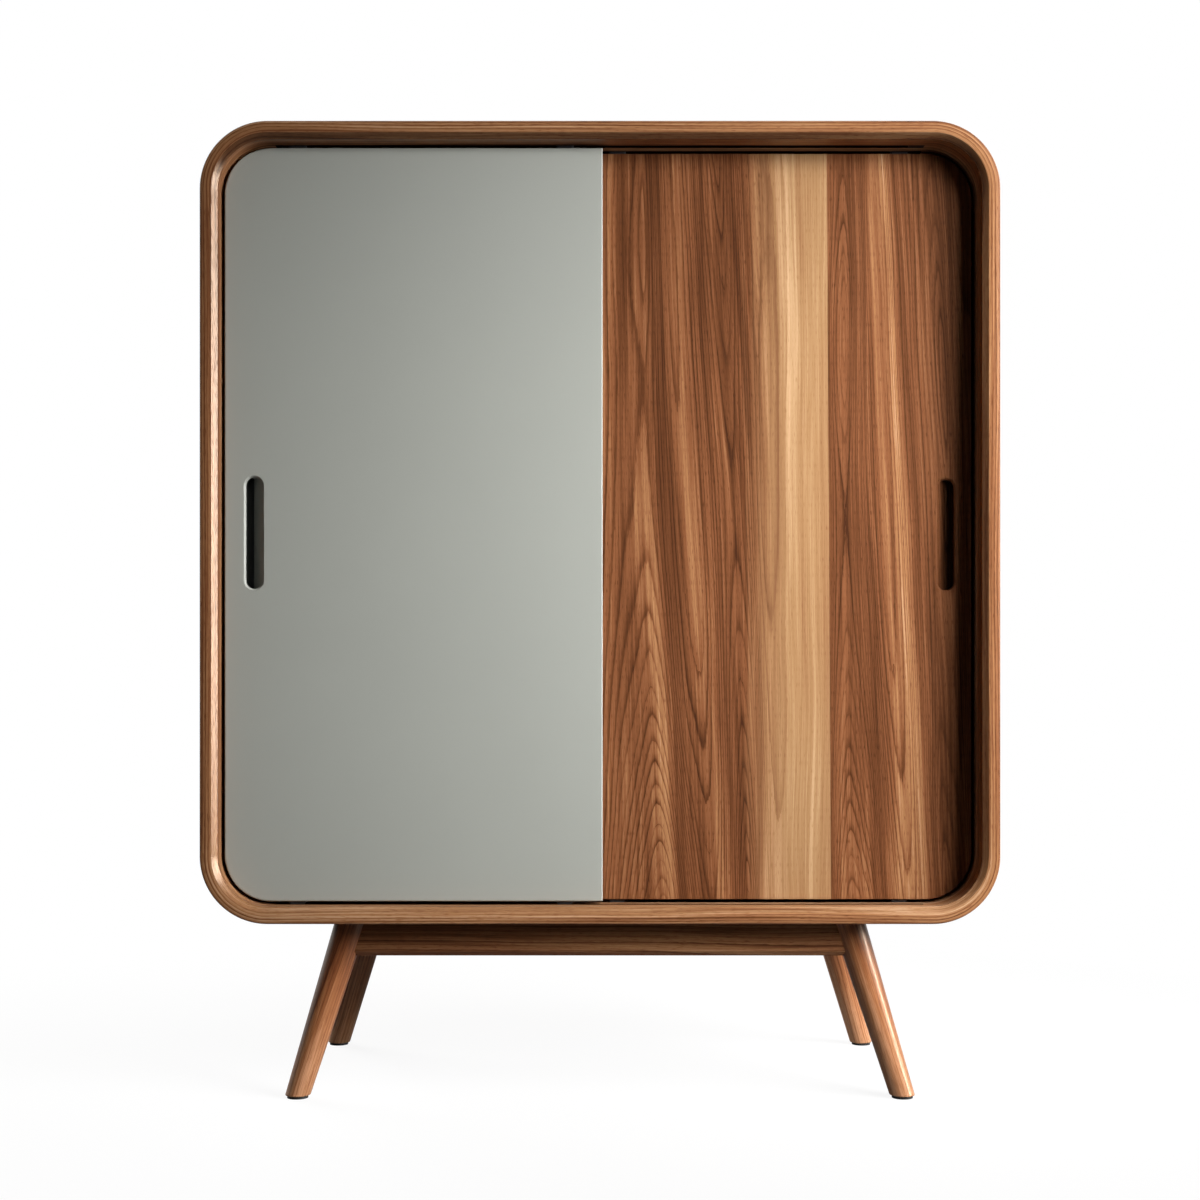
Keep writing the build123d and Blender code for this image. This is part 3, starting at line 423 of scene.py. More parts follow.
def round_the_case(put, xyz):
    """Grain that runs round the case: along each panel and round each bend, as bent veneer does."""
    x_size = put("ABSOLUTE", xyz["X"])
    z_place = put("SUBTRACT", xyz["Z"], case_middle_z)
    z_size = put("ABSOLUTE", z_place)
    x_over = put("MAXIMUM", put("SUBTRACT", x_size, straight_x), 0.0)
    z_over = put("MAXIMUM", put("SUBTRACT", z_size, straight_z), 0.0)
    x_square = put("MULTIPLY", x_over, x_over)
    radius = put("SQRT", put("MULTIPLY_ADD", z_over, z_over, x_square))

    # The way round from the middle of the top, as an angle on a round loop of the same length
    turn = put("ARCTAN2", x_over, z_over)
    on_top = put("MINIMUM", x_size, straight_x)
    on_side = put("MINIMUM", z_size, straight_z)
    way = put("MULTIPLY_ADD", turn, bend_radius - wall / 2, on_top)
    way = put("ADD", put("SUBTRACT", way, on_side), straight_z)
    angle = put("MULTIPLY", way, math.pi / 2 / quarter_round)
    loop_radius = 2 * quarter_round / math.pi
    loop_x = put("MULTIPLY", put("SINE", angle), put("SIGN", xyz["X"]))
    loop_z = put("MULTIPLY", put("COSINE", angle), put("SIGN", z_place))
    rings = put("MULTIPLY", xyz["Y"], 1 / case_depth_ring)

    # The rim's flat face is sanded slightly round, and its front edge is rubbed smooth
    flat = (wall - rim_chamfer) / 2
    aside = put("MULTIPLY", put("SUBTRACT", radius, bend_radius - flat), 1 / flat)
    aside = put("ShaderNodeClamp", {"Value": aside, "Min": -1.0, "Max": 1.0})
    aside = put("MULTIPLY", aside, aside)
    edge = case_low.y + rim_chamfer
    rubbed = {"Value": xyz["Y"], "From Min": edge, "From Max": case_low.y + 5 * rim_chamfer}
    rubbed.update({"To Min": rubbed_roughness, "To Max": case_roughness})

    # Painted shade darkens the chamfer along the top and a little along the bottom, and painted light makes
    # the top and the bottom lighter
    within = put("LESS_THAN", radius, bend_radius - wall + rim_chamfer)
    chamfer = put("MULTIPLY", within, put("LESS_THAN", xyz["Y"], edge))
    start, end = straight_z - bend_blend, straight_z + bend_blend
    on_high = put("ShaderNodeMapRange", {"Value": z_place, "From Min": start, "From Max": end})
    on_low = put("ShaderNodeMapRange", {"Value": z_place, "From Min": -start, "From Max": -end})
    # Painted light on the top and the bottom, painted shade on the chamfer
    tone = put("MULTIPLY_ADD", on_high, top_tone, case_tone)
    stain = put("MULTIPLY_ADD", on_high, top_stain, put("MULTIPLY", on_low, bottom_stain))
    return {
        "Across": radius,
        "Depth": xyz["Y"],
        "Along": put("MULTIPLY", loop_x, loop_radius),
        "Along Too": put("MULTIPLY", loop_z, loop_radius),
        "Rings": put("MULTIPLY_ADD", radius, 1 / case_radius_ring, rings),
        "Shade": put("MULTIPLY", chamfer, stain),
        "Tone": put("MULTIPLY_ADD", on_low, bottom_tone, tone),
        "Crown": put("MULTIPLY", aside, -rim_crown),
        "Roughness": put("ShaderNodeMapRange", rubbed),
    }


# The figure of the rear door's veneer, in mm from the middle of the cabinet and up from the floor.
# Across the sheet the ring count rises and falls, and each swirl stands where it turns.
ring_slopes = (
    *((-30.0, 0.0), (54.0, 18.0), (100.0, 10.0), (157.0, 20.0), (196.0, 12.0), (262.0, 30.0)),
    *((283.0, 34.0), (330.0, 22.0), (355.0, 28.0), (402.0, 36.0), (425.0, 31.0), (450.0, 36.0)),
)
# Each swirl is (centre across, centre up, half-width, half-length, growth rings cut through)
door_swirls = (
    (54.0, -100.0, 36.0, 450.0, 28.0),
    (56.0, 985.0, 13.0, 110.0, 2.6),
    (157.0, 1400.0, 19.0, 400.0, 12.0),
    (152.0, -60.0, 24.0, 400.0, 14.0),
    (283.0, 871.0, 15.0, 120.0, 5.0),
    (283.0, -110.0, 28.0, 440.0, 22.0),
    (402.0, 820.0, 16.0, 210.0, 6.0),
    (380.0, 0.0, 24.0, 420.0, 8.0),
)
# How far the grain leans: (place across, mm to the right for each mm down)
grain_leans = (
    *((-30.0, 0.0), (20.0, 0.005), (60.0, 0.03), (110.0, 0.055), (165.0, 0.045), (205.0, 0.012)),
    *((262.0, 0.006), (300.0, 0.03), (345.0, 0.055), (400.0, 0.04), (450.0, 0.03)),
)
# The sheet's light and dark bands: (place across, lightness)
veneer_tones = (
    *((-30.0, 0.52), (6.0, 0.58), (34.0, 0.5), (54.0, 0.54), (80.0, 0.45), (100.0, 0.58), (125.0, 0.5)),
    *((157.0, 0.4), (180.0, 0.46), (196.0, 0.56), (230.0, 0.57), (262.0, 0.51), (283.0, 0.44)),
    *((305.0, 0.5), (320.0, 0.5), (328.0, 0.68), (335.0, 0.6), (342.0, 0.72), (353.0, 0.62)),
    *((366.0, 0.48), (402.0, 0.42), (450.0, 0.4)),
)
sapwood_from, sapwood_to = 196.0, 262.0
sapwood_lean = 5.0 / 860.0


def swirl_mound(put, given):
    """One swirl in the veneer: a long mound of growth rings, whose contours are nested arches."""
    blunt_tip = 0.012
    aside = put("DIVIDE", put("SUBTRACT", given["Across"], given["Centre"]), given["Width"])
    aside = put("MULTIPLY", aside, aside)
    aside = put("SQRT", put("ADD", aside, blunt_tip))
    apart = put("DIVIDE", put("SUBTRACT", given["Along"], given["Middle"]), given["Length"])
    total = put("MULTIPLY", put("MULTIPLY_ADD", apart, apart, aside), -1.0)
    return {"Rings": put("MULTIPLY", put("EXPONENT", total), given["Rings"])}


def curve_across(put, place, knots):
    """A smooth curve through knots of (place, value), as the node that gives its value."""
    first, last = knots[0][0], knots[-1][0]
    most = max(value for _, value in knots)
    share = put("ShaderNodeMapRange", {"Value": place, "From Min": first, "From Max": last})
    shape = put("ShaderNodeFloatCurve", {"Value": share})
    curve = shape.mapping.curves[0]
    curve.points[0].location = (0.0, knots[0][1] / most)
    curve.points[-1].location = (1.0, knots[-1][1] / most)
    for position, value in knots[1:-1]:
        curve.points.new((position - first) / (last - first), value / most)
    shape.mapping.update()
    return put("MULTIPLY", shape, most)


def pull_hollow(put, xyz, pull_x, face_y, sets_in, full, below):
    """One inside the deep part of a door's finger pull, where painted shade darkens it, and zero elsewhere.
    """
    # Painted shade: it grows across the pull from where it sets in to where it is full
    dark = put("ShaderNodeMapRange", {"Value": xyz["X"], "From Min": sets_in, "From Max": full})
    across = put("COMPARE", xyz["X"], pull_x, pull_half_width)
    beside = put("COMPARE", xyz["Z"], pull_z, pull_half_height)
    half = (pull_floor - below) / 2
    within = put("COMPARE", xyz["Y"], face_y + below + half, half)
    return put("MULTIPLY", put("MULTIPLY", put("MULTIPLY", dark, beside), across), within)


def figured_veneer(put, xyz):
    """The rear door's veneer: swirls and nested arches, and a straight pale strip of sapwood."""
    lean = curve_across(put, xyz["X"], grain_leans)
    above = put("SUBTRACT", xyz["Z"], case_middle_z)
    across = put("MULTIPLY_ADD", above, lean, xyz["X"])
    rings = curve_across(put, across, ring_slopes)
    rings = put("MULTIPLY_ADD", xyz["Y"], 1 / through_ring_width, rings)
    shape = ("Centre", "Middle", "Width", "Length", "Rings")
    sockets = dict.fromkeys(("Across", "Along", *shape), "Float")
    group = node_group("Shader", "Swirl", swirl_mound, sockets, {"Rings": "Float"})
    for swirl in door_swirls:
        place = {"Across": across, "Along": xyz["Z"], **dict(zip(shape, swirl))}
        rings = put("ADD", rings, put("ShaderNodeGroup", place, node_tree=group))

    # Sapwood: a fuzzy left edge along the grain, and the clean seam of the next leaf on its right
    flat = put("ShaderNodeCombineXYZ", {0: xyz["X"], 2: xyz["Z"]})
    drawn_out = put("VECTOR_MULTIPLY", flat, (1 / 7, 1.0, 1 / 300))
    fuzz = put("ShaderNodeTexNoise", {"Vector": drawn_out, "Scale": 1.0, "Detail": 3.0})
    fuzz_reach = 40.0
    edge = put("MULTIPLY_ADD", fuzz, fuzz_reach, sapwood_from - fuzz_reach / 2)
    beyond = put("SUBTRACT", xyz["X"], edge)
    begins = put("ShaderNodeMapRange", {"Value": beyond, "From Min": -30.0, "From Max": 26.0})
    seam = put("MULTIPLY_ADD", xyz["Z"], -sapwood_lean, sapwood_to + 5.0)
    before = put("SUBTRACT", seam, xyz["X"])
    ends = put("ShaderNodeMapRange", {"Value": before, "From Min": -0.2, "From Max": 0.4})
    return {
        "Across": across,
        "Depth": xyz["Y"],
        "Along": xyz["Z"],
        "Along Too": 0.0,
        "Rings": rings,
        "Pale": put("MULTIPLY", begins, ends),
        "Tone": curve_across(put, across, veneer_tones),
        # Painted shade in the finger pull, darker towards its right side
        "Shade": pull_hollow(put, xyz, rear_pull_x, rear_face_y, *rear_pull_dark),
    }


# Finishes that are not wood


def satin_lacquer():
    """Sprayed satin lacquer: even colour, a soft sheen, and the faint bumps that a spray gun leaves."""
    settings = bpy.context.scene.highboard_lacquer
    material, put, place = new_material("Satin lacquer, grey-green")
    peel = put("ShaderNodeTexNoise", {"Vector": place, "Scale": 1000 / settings.peel_size, "Detail": 1.0})
    cloud = put("ShaderNodeTexNoise", {"Vector": place, "Scale": 9.0, "Detail": 2.0})
    shift = put("ShaderNodeMapRange", {"Value": cloud, "To Min": 0.975, "To Max": 1.025})
    xyz = in_millimetres(put, place)
    # Painted shade darkens the deep part of the finger pull almost to black
    hollow = pull_hollow(put, xyz, front_pull_x, front_face_y, *front_pull_dark)
    undarkened = put("ShaderNodeMapRange", {"Value": hollow, "To Min": 1.0, "To Max": 0.04})
    finish(
        put,
        Base_Color=put("VECTOR_SCALE", {0: put("VECTOR_MULTIPLY", settings.colour, shift), 3: undarkened}),
        Roughness=put("ShaderNodeMapRange", {"Value": cloud, "To Min": 0.46, "To Max": 0.52}),
        IOR=1.5,
        Specular_IOR_Level=0.4,
        Normal=put("ShaderNodeBump", {"Height": peel, "Strength": 0.06, "Distance": 0.0001}),
    )
    return material


def moulded(name, hex_colour, roughness, ior=1.5):
    """Moulded plastic or rubber: one colour right through, with the fine spark grain of its mould."""
    spark_size, unevenness = 0.4, 0.05
    material, put, place = new_material(name)
    spark = put("ShaderNodeTexNoise", {"Vector": place, "Scale": 1000 / spark_size, "Detail": 2.0})
    flow = put("ShaderNodeTexNoise", {"Vector": place, "Scale": 60.0, "Detail": 1.0})
    shift = put("ShaderNodeMapRange", {"Value": flow, "To Min": 0.9, "To Max": 1.1})
    uneven = {"Value": spark, "To Min": roughness - unevenness, "To Max": roughness + unevenness}
    finish(
        put,
        Base_Color=put("VECTOR_MULTIPLY", linear(hex_colour), shift),
        Roughness=put("ShaderNodeMapRange", uneven),
        IOR=ior,
        Normal=put("ShaderNodeBump", {"Height": spark, "Strength": 0.15, "Distance": 0.0001}),
    )
    return material


def metal(name, hex_colour, roughness, grain, stretch=(1.0, 1.0, 1.0)):
    """Bare or plated metal: its colour is all reflection, broken up by fine marks of its making."""
    unevenness = 0.08
    material, put, place = new_material(name)
    drawn = put("VECTOR_MULTIPLY", place, stretch)
    marks = put("ShaderNodeTexNoise", {"Vector": drawn, "Scale": 1000 / grain, "Detail": 3.0})
    shift = put("ShaderNodeMapRange", {"Value": marks, "To Min": 0.86, "To Max": 1.1})
    uneven = {"Value": marks, "To Min": roughness - unevenness, "To Max": roughness + unevenness}
    finish(
        put,
        Base_Color=put("VECTOR_MULTIPLY", linear(hex_colour), shift),
        Metallic=1.0,
        Roughness=put("ShaderNodeMapRange", uneven),
        Normal=put("ShaderNodeBump", {"Height": marks, "Strength": 0.1, "Distance": 0.0001}),
    )
    return material


# Round fasteners and turned legs, in place of the plain CAD ones


def solids_of(name):
    """The separate solids of a CAD node, each as the list of its corners in metres."""
    mesh = bmesh.new()
    mesh.from_mesh(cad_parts[name].data)
    bmesh.ops.remove_doubles(mesh, verts=mesh.verts, dist=1e-6)
    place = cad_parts[name].matrix_world
    solids = []
    for first in mesh.verts:
        if first.tag:
            continue
        first.tag = True
        reached = [first]
        for corner in reached:
            for edge in corner.link_edges:
                other = edge.other_vert(corner)
                if not other.tag:
                    other.tag = True
                    reached.append(other)
        solids.append([place @ corner.co for corner in reached])
    mesh.free()
    return solids


def measure_pin(corners):
    """A pin's or screw's wide end, the unit vector out of that end, and its sizes in metres.

    The sizes are the radius at the wide end, the radius of the shank, and the length.
    """
    low, high = (Vector([pick(c[i] for c in corners) for i in range(3)]) for pick in (min, max))
    along = max(range(3), key=lambda i: high[i] - low[i])
    levels = sorted({round(c[along], 5) for c in corners})

    def radius_at(level):
        ring = [c for c in corners if abs(c[along] - level) < 2e-5]
        return min(max(c[i] for c in ring) - min(c[i] for c in ring) for i in range(3) if i != along) / 2

    first_is_wide = radius_at(levels[0]) > radius_at(levels[-1])
    wide, shank = (levels[0], levels[-2]) if first_is_wide else (levels[-1], levels[1])
    if len(levels) == 2:
        shank = wide
    place = (low + high) / 2
    place[along] = wide
    out = Vector((0.0, 0.0, 0.0))
    out[along] = -1.0 if first_is_wide else 1.0
    sizes = (radius_at(wide), radius_at(shank), high[along] - low[along])
    return place, out, tuple(round(size, 5) for size in sizes)


def skin(name, rings):
    """A closed mesh over rings of points, each ring with the same number of points or only one."""
    mesh = bmesh.new()
    made = [[mesh.verts.new(point) for point in ring] for ring in rings]
    count = max(map(len, made))
    for above, below in zip(made, made[1:]):
        for i in range(count):
            j = (i + 1) % count
            turns = ((above, i), (below, i), (below, j), (above, j))
            corners = [ring[place % len(ring)] for ring, place in turns]
            corners = [c for n, c in enumerate(corners) if c not in corners[:n]]
            mesh.faces.new(corners)
    data = bpy.data.meshes.new(name)
    mesh.to_mesh(data)
    mesh.free()
    return data


def ring(radius, z, count, wave=None):
    """A level ring of points. A wave changes the radius and the height from point to point."""
    points = []
    for i in range(count):
        angle = 2 * math.pi * i / count
        more, lift = wave(i) if wave else (0.0, 0.0)
        points.append(((radius + more) * math.cos(angle), (radius + more) * math.sin(angle), z + lift))
    return points


def screw_shape(head, shank, length):
    """A countersunk screw with a cross recess and a rolled thread. Its head's face is at zero."""
    sides = 16
    core = shank * 0.74
    pitch = shank * 1.1
    recess = head * 0.55
    rings = [[(0.0, 0.0, -recess)]]
    for share, arm, web in ((0.16, 0.8, 0.45), (0.3, 0.62, 0.0), (0.46, 0.4, 0.0), (0.6, 0.0, 0.0)):
        drop = [-recess * (arm if i % 4 == 0 else web) for i in range(sides)]
        rings.append(ring(head * share, 0.0, sides, lambda i, drop=drop: (0.0, drop[i])))
    neck = head - shank
    thread_top = -neck - 0.2 * length
    side = ((head * 0.95, 0.0), (head, -head * 0.04), (head, -head * 0.1), (shank, -neck - head * 0.1))
    rings.extend(ring(radius, level, sides) for radius, level in (*side, (shank, thread_top)))
    steps = int((length - shank * 1.6 + thread_top) / pitch * 4)
    for step in range(steps):
        height = [(step / 4 + i / sides) % 1.0 for i in range(sides)]
        crest = [(shank - core) * max(0.0, 1 - abs(h - 0.5) / 0.3) for h in height]
        level = thread_top - pitch * (step + 1) / 4
        rings.append(ring(core, level, sides, lambda i, crest=crest: (crest[i], 0.0)))
    rings.append(ring(core * 0.7, -length + shank * 0.7, sides))
    rings.append([(0.0, 0.0, -length)])
    return skin("screw", rings)


def pin_shape(radius, _, length):
    """A turned pin with rounded ends. Its near end is at zero."""
    sides = 24
    ease = radius * 0.35
    turns = [share * math.pi / 2 for share in (0.0, 0.3, 0.7, 1.0)]
    rounded = [(radius - ease + ease * math.sin(turn), ease - ease * math.cos(turn)) for turn in turns]
    near = [ring(out, -drop, sides) for out, drop in rounded]
    far = [ring(out, drop - length, sides) for out, drop in reversed(rounded)]
    rings = [[(0.0, 0.0, 0.0)], *near, *far, [(0.0, 0.0, -length)]]
    return skin("pin", rings)


def leg_axis(name):
    """The middles of a leg's foot and top and its radii there, in metres."""
    corners = solids_of(name)[0]
    ends = []
    for level in (min(c.z for c in corners), max(c.z for c in corners)):
        edge = [c for c in corners if abs(c.z - level) < 1e-5]
        low, high = (Vector([pick(c[i] for c in edge) for i in range(3)]) for pick in (min, max))
        ends.append(((low + high) / 2, (high.y - low.y) / 2))
    (foot, foot_half), (top, top_half) = ends
    axis = (top - foot).normalized()
    slant = axis.z / math.sqrt(1 - axis.x**2)
    return foot, top, foot_half * slant, top_half * slant


def smooth_but_for_edges(put, geometry, material):
    """Ends a Geometry Nodes tree: smooth but for its edges, real geometry, and one material."""
    smooth = put("GeometryNodeSetShadeSmooth", {"Geometry": geometry, "Shade Smooth": True}, domain="FACE")
    turn, sharpest_smooth = put("GeometryNodeInputMeshEdgeAngle").outputs["Unsigned Angle"], math.radians(35)
    sharp = put("FunctionNodeCompare", turn, sharpest_smooth, operation="GREATER_THAN")
    creased = {"Geometry": smooth, "Selection": sharp, "Shade Smooth": False}
    edged = put("GeometryNodeSetShadeSmooth", creased, domain="EDGE")
    real = put("GeometryNodeRealizeInstances", {"Geometry": edged})
    return {"Geometry": put("GeometryNodeSetMaterial", {"Geometry": real, "Material": material})}


def scatter_fasteners(put, given):
    """Puts a part on each point, its top towards the point's axis, each turned by its own angle."""
    part = put("GeometryNodeObjectInfo", {"Object": given["Part"]}).outputs["Geometry"]
    axis = put("GeometryNodeInputNamedAttribute", {"Name": "axis"}, data_type="FLOAT_VECTOR")
    stand = put("FunctionNodeAlignRotationToVector", {"Vector": axis}, axis="Z")
    spin = put("FunctionNodeRandomValue", {2: 0.0, 3: 2 * math.pi, "Seed": given["Seed"]}, data_type="FLOAT")
    turn = put("FunctionNodeEulerToRotation", put("ShaderNodeCombineXYZ", {2: spin.outputs[1]}))
    both = put("FunctionNodeRotateRotation", stand, turn, rotation_space="LOCAL")
    where = {"Points": given["Geometry"], "Instance": part, "Rotation": both}
    real = put("GeometryNodeRealizeInstances", {"Geometry": put("GeometryNodeInstanceOnPoints", where)})
    return smooth_but_for_edges(put, real, given["Material"])


def turned_leg(put, given):
    """A turned leg: a straight taper round a leaning axis, cut level at both ends, its foot eased.

    It is shaped from a plain cylinder, whose rings crowd towards the foot.
    """
    sizes = {"Vertices": 64, "Side Segments": 36, "Radius": 1.0, "Depth": 1.0}
    blank = put("GeometryNodeMeshCylinder", sizes, fill_type="NGON").outputs["Mesh"]
    at = put("ShaderNodeSeparateXYZ", put("GeometryNodeInputPosition")).outputs
    up = put("POWER", put("ADD", at["Z"], 0.5), 3.0)
    whole = put("VECTOR_SUBTRACT", given["Top"], given["Foot"])
    axis = put("VECTOR_NORMALIZE", whole)
    side = put("VECTOR_NORMALIZE", put("VECTOR_CROSS_PRODUCT", axis, (0.0, 1.0, 0.0)))
    front = put("VECTOR_CROSS_PRODUCT", axis, side)
    taper = {"Value": up, "To Min": given["Foot Radius"], "To Max": given["Top Radius"]}
    taper = put("ShaderNodeMapRange", taper)

    # The ease round the foot is a quarter circle
    above = put("MULTIPLY", up, put("ShaderNodeSeparateXYZ", whole).outputs["Z"])
    near = {"Value": above, "From Max": given["Ease"], "To Min": 1.0, "To Max": 0.0}
    near = put("ShaderNodeMapRange", near)
    arc = put("SQRT", put("SUBTRACT", 1.0, put("MULTIPLY", near, near)))
    radius = put("SUBTRACT", taper, put("MULTIPLY", put("SUBTRACT", 1.0, arc), given["Ease"]))

    # Each ring is slid along the axis, point by point, until it is level
    sideways = put("VECTOR_SCALE", {0: side, 3: at["X"]})
    forward = put("VECTOR_SCALE", {0: front, 3: at["Y"]})
    out = put("VECTOR_SCALE", {0: put("VECTOR_ADD", sideways, forward), 3: radius})
    steep = put("ShaderNodeSeparateXYZ", axis).outputs["Z"]
    back = put("DIVIDE", put("ShaderNodeSeparateXYZ", out).outputs["Z"], steep)
    out = put("VECTOR_SUBTRACT", out, put("VECTOR_SCALE", {0: axis, 3: back}))
    middle = put("VECTOR_ADD", put("VECTOR_SCALE", {0: whole, 3: up}), given["Foot"])
    place = put("VECTOR_ADD", middle, out)
    shaped = put("GeometryNodeSetPosition", {"Geometry": blank, "Position": place})
    return smooth_but_for_edges(put, shaped, given["Material"])


def grow(name, build, sockets, start=None, **values):
    """A plain mesh grown from its named inputs by the Geometry Nodes tree that build makes."""
    sockets = {"Geometry": "Geometry", **sockets, "Material": "Material"}
    tree_name = build.__name__.replace("_", " ").capitalize()
    tree = node_group("Geometry", tree_name, build, sockets, {"Geometry": "Geometry"})
    seed = bpy.data.objects.new(name, start or bpy.data.meshes.new(name))
    bpy.context.scene.collection.objects.link(seed)
    modifier = seed.modifiers.new("Grow", "NODES")
    modifier.node_group = tree
    for item in tree.interface.items_tree:
        if item.in_out == "INPUT" and item.name in values:
            modifier[item.identifier] = values[item.name]
    mesh = bpy.data.meshes.new_from_object(seed.evaluated_get(bpy.context.evaluated_depsgraph_get()))
    bpy.data.objects.remove(seed)
    return mesh


def add_piece(name, mesh, body, replaced):
    """Adds a finished mesh to the scene as a piece of the highboard, in place of a CAD node."""
    piece = bpy.data.objects.new(name, mesh)
    bpy.context.scene.collection.objects.link(piece)
    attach(piece, body)
    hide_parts(replaced)


def add_fasteners(node, shape, body, material):
    """Round fasteners on the places and in the sizes of a CAD node's own solids."""
    places_of_size = {}
    for corners in solids_of(node):
        place, out, sizes = measure_pin(corners)
        places_of_size.setdefault(sizes, []).append((place, out))
    joined = bmesh.new()
    for sizes, places in places_of_size.items():
        part = bpy.data.objects.new(node + "_one", shape(*sizes))
        points = bpy.data.meshes.new(node + "_points")
        points.from_pydata([place for place, _ in places], [], [])
        axes = points.attributes.new("axis", "FLOAT_VECTOR", "POINT")
        axes.data.foreach_set("vector", [number for _, out in places for number in out])
        sockets = {"Part": "Object", "Seed": "Int"}
        mesh = grow(node, scatter_fasteners, sockets, points, Part=part, Seed=7, Material=material)
        joined.from_mesh(mesh)
        bpy.data.objects.remove(part)
        bpy.data.meshes.remove(mesh)
    whole = bpy.data.meshes.new(node)
    joined.to_mesh(whole)
    joined.free()
    whole.materials.append(material)
    add_piece(node + "_turned", whole, body, node)


class FinishCase(bpy.types.Operator):
    """Veneers the case, with the grain running round its bent corners"""

    bl_idname = "highboard.finish_case"
    bl_label = "Case"

    def execute(self, context):
        veneer = walnut("Walnut veneer, bent round the case", round_the_case, wander=2.5, gloss=0.7)
        assign(veneer, "left_side_panel", "right_side_panel", "top_panel", "bottom_panel")
        assign(veneer, "top_left_corner", "top_right_corner", "bottom_left_corner", "bottom_right_corner")
        return {"FINISHED"}


class FinishInside(bpy.types.Operator):
    """Veneers the back, the divider and the shelves"""

    bl_idname = "highboard.finish_inside"
    bl_label = "Inside"

    def execute(self, context):
        assign(walnut("Walnut veneer, back", board("X", "Y", "Z", ring_width=9.0), wander=6.0), "back_panel")
        assign(walnut("Walnut veneer, divider", board("Y", "X", "Z", ring_width=7.0)), "centre_divider")
        shelf = walnut("Walnut veneer, shelves", board("Y", "Z", "X", ring_width=7.0))
        assign(shelf, "lower_left_shelf", "lower_right_shelf", "upper_left_shelf", "upper_right_shelf")
        return {"FINISHED"}


class FinishDoors(bpy.types.Operator):
    """Sprays the front door and veneers the rear one"""

    bl_idname = "highboard.finish_doors"
    bl_label = "Doors"

    def execute(self, context):
        assign(satin_lacquer(), "front_door_panel")
        assign(walnut("Figured walnut veneer, rear door", figured_veneer, wander=2.5), "rear_door_panel")
        return {"FINISHED"}


class FinishBase(bpy.types.Operator):
    """Oils the rails and braces of solid walnut and the pads under the feet"""

    bl_idname = "highboard.finish_base"
    bl_label = "Base"

    def execute(self, context):
        oiled = {"roughness": 0.4, "gloss": 0.3}
        wood = walnut("Solid walnut, long rails", board("Z", "Y", "X", ring_width=6.0), **oiled)
        assign(wood, "front_rail", "rear_rail")
        wood = walnut("Solid walnut, side rails", board("Z", "X", "Y", ring_width=6.0), **oiled)
        assign(wood, "left_rail", "right_rail")
        assign(wood, "front_left_brace", "front_right_brace", "rear_left_brace", "rear_right_brace")
        assign(moulded("Felt-grey plastic, foot pads", "#2B2A29", 0.6), "foot_pads")
        return {"FINISHED"}


class TurnLegs(bpy.types.Operator):
    """Turns the four tapered legs of solid walnut, their grain along their lean"""

    bl_idname = "highboard.turn_legs"
    bl_label = "Legs"

    def execute(self, context):
        measures = ("Foot", "Top", "Foot Radius", "Top Radius", "Ease")
        sockets = dict(zip(measures, ("Vector", "Vector", "Float", "Float", "Float")))
        looks = {"roughness": 0.3, "gloss": 1.0, "tint": "#FFE6D8"}
        foot_ease = 0.0012
        for name in ("front_left_leg", "front_right_leg", "rear_left_leg", "rear_right_leg"):
            foot, top, *radii = leg_axis(name)
            lean = board_along_axis(foot * 1000, top * 1000)
            wood = walnut("Solid walnut, " + name.replace("_", " "), lean, **looks)
            sizes = dict(zip(measures, (foot, top, *radii, foot_ease)))
            mesh = grow(name, turned_leg, sockets, **sizes, Material=wood)
            add_piece(name + "_turned", mesh, "cabinet", name)
        return {"FINISHED"}


class FitHardware(bpy.types.Operator):
    """Fits the round screws and pins, and finishes the joinery and the running gear"""

    bl_idname = "highboard.fit_hardware"
    bl_label = "Hardware"

    def execute(self, context):
        zinc = metal("Zinc-plated steel", "#B4B5B2", 0.32, grain=0.8)
        for node in ("back_panel_screws", "track_screws", "base_screws"):
            add_fasteners(node, screw_shape, "cabinet", zinc)
        add_fasteners("shelf_pins", pin_shape, "cabinet", zinc)
        for door in ("front_door", "rear_door"):
            add_fasteners(door + "_screws", screw_shape, door, zinc)
            add_fasteners(door + "_axles", pin_shape, door, zinc)
        assign(zinc, "leg_bolts", "leg_nuts")
        beech = walnut("Beech, tongues and dowels", board("Y", "X", "Z"), tone=0.9)
        assign(beech, "corner_tongues", "divider_dowels")
        track = metal("Brown anodised aluminium, drawn", "#2A1E17", 0.4, stretch=(0.02, 1.0, 1.0), grain=0.3)
        assign(track, "front_bottom_track", "rear_bottom_track", "front_top_track", "rear_top_track")
        assign(moulded("Rubber, track stops", "#191919", 0.75, ior=1.52), "track_stops")
        housing = moulded("Nylon, housings and guides", "#26272A", 0.5, ior=1.53)
        tread = moulded("Nylon, wheels", "#3A3B3D", 0.38, ior=1.53)
        bronze = metal("Sintered bronze", "#8E6A3F", 0.42, grain=0.25)
        for door in ("front_door", "rear_door"):
            assign(housing, door + "_left_roller_housing", door + "_right_roller_housing")
            assign(housing, door + "_top_guides")
            assign(tread, door + "_left_wheel", door + "_right_wheel")
            assign(bronze, door + "_left_wheel_bush", door + "_right_wheel_bush")
        return {"FINISHED"}


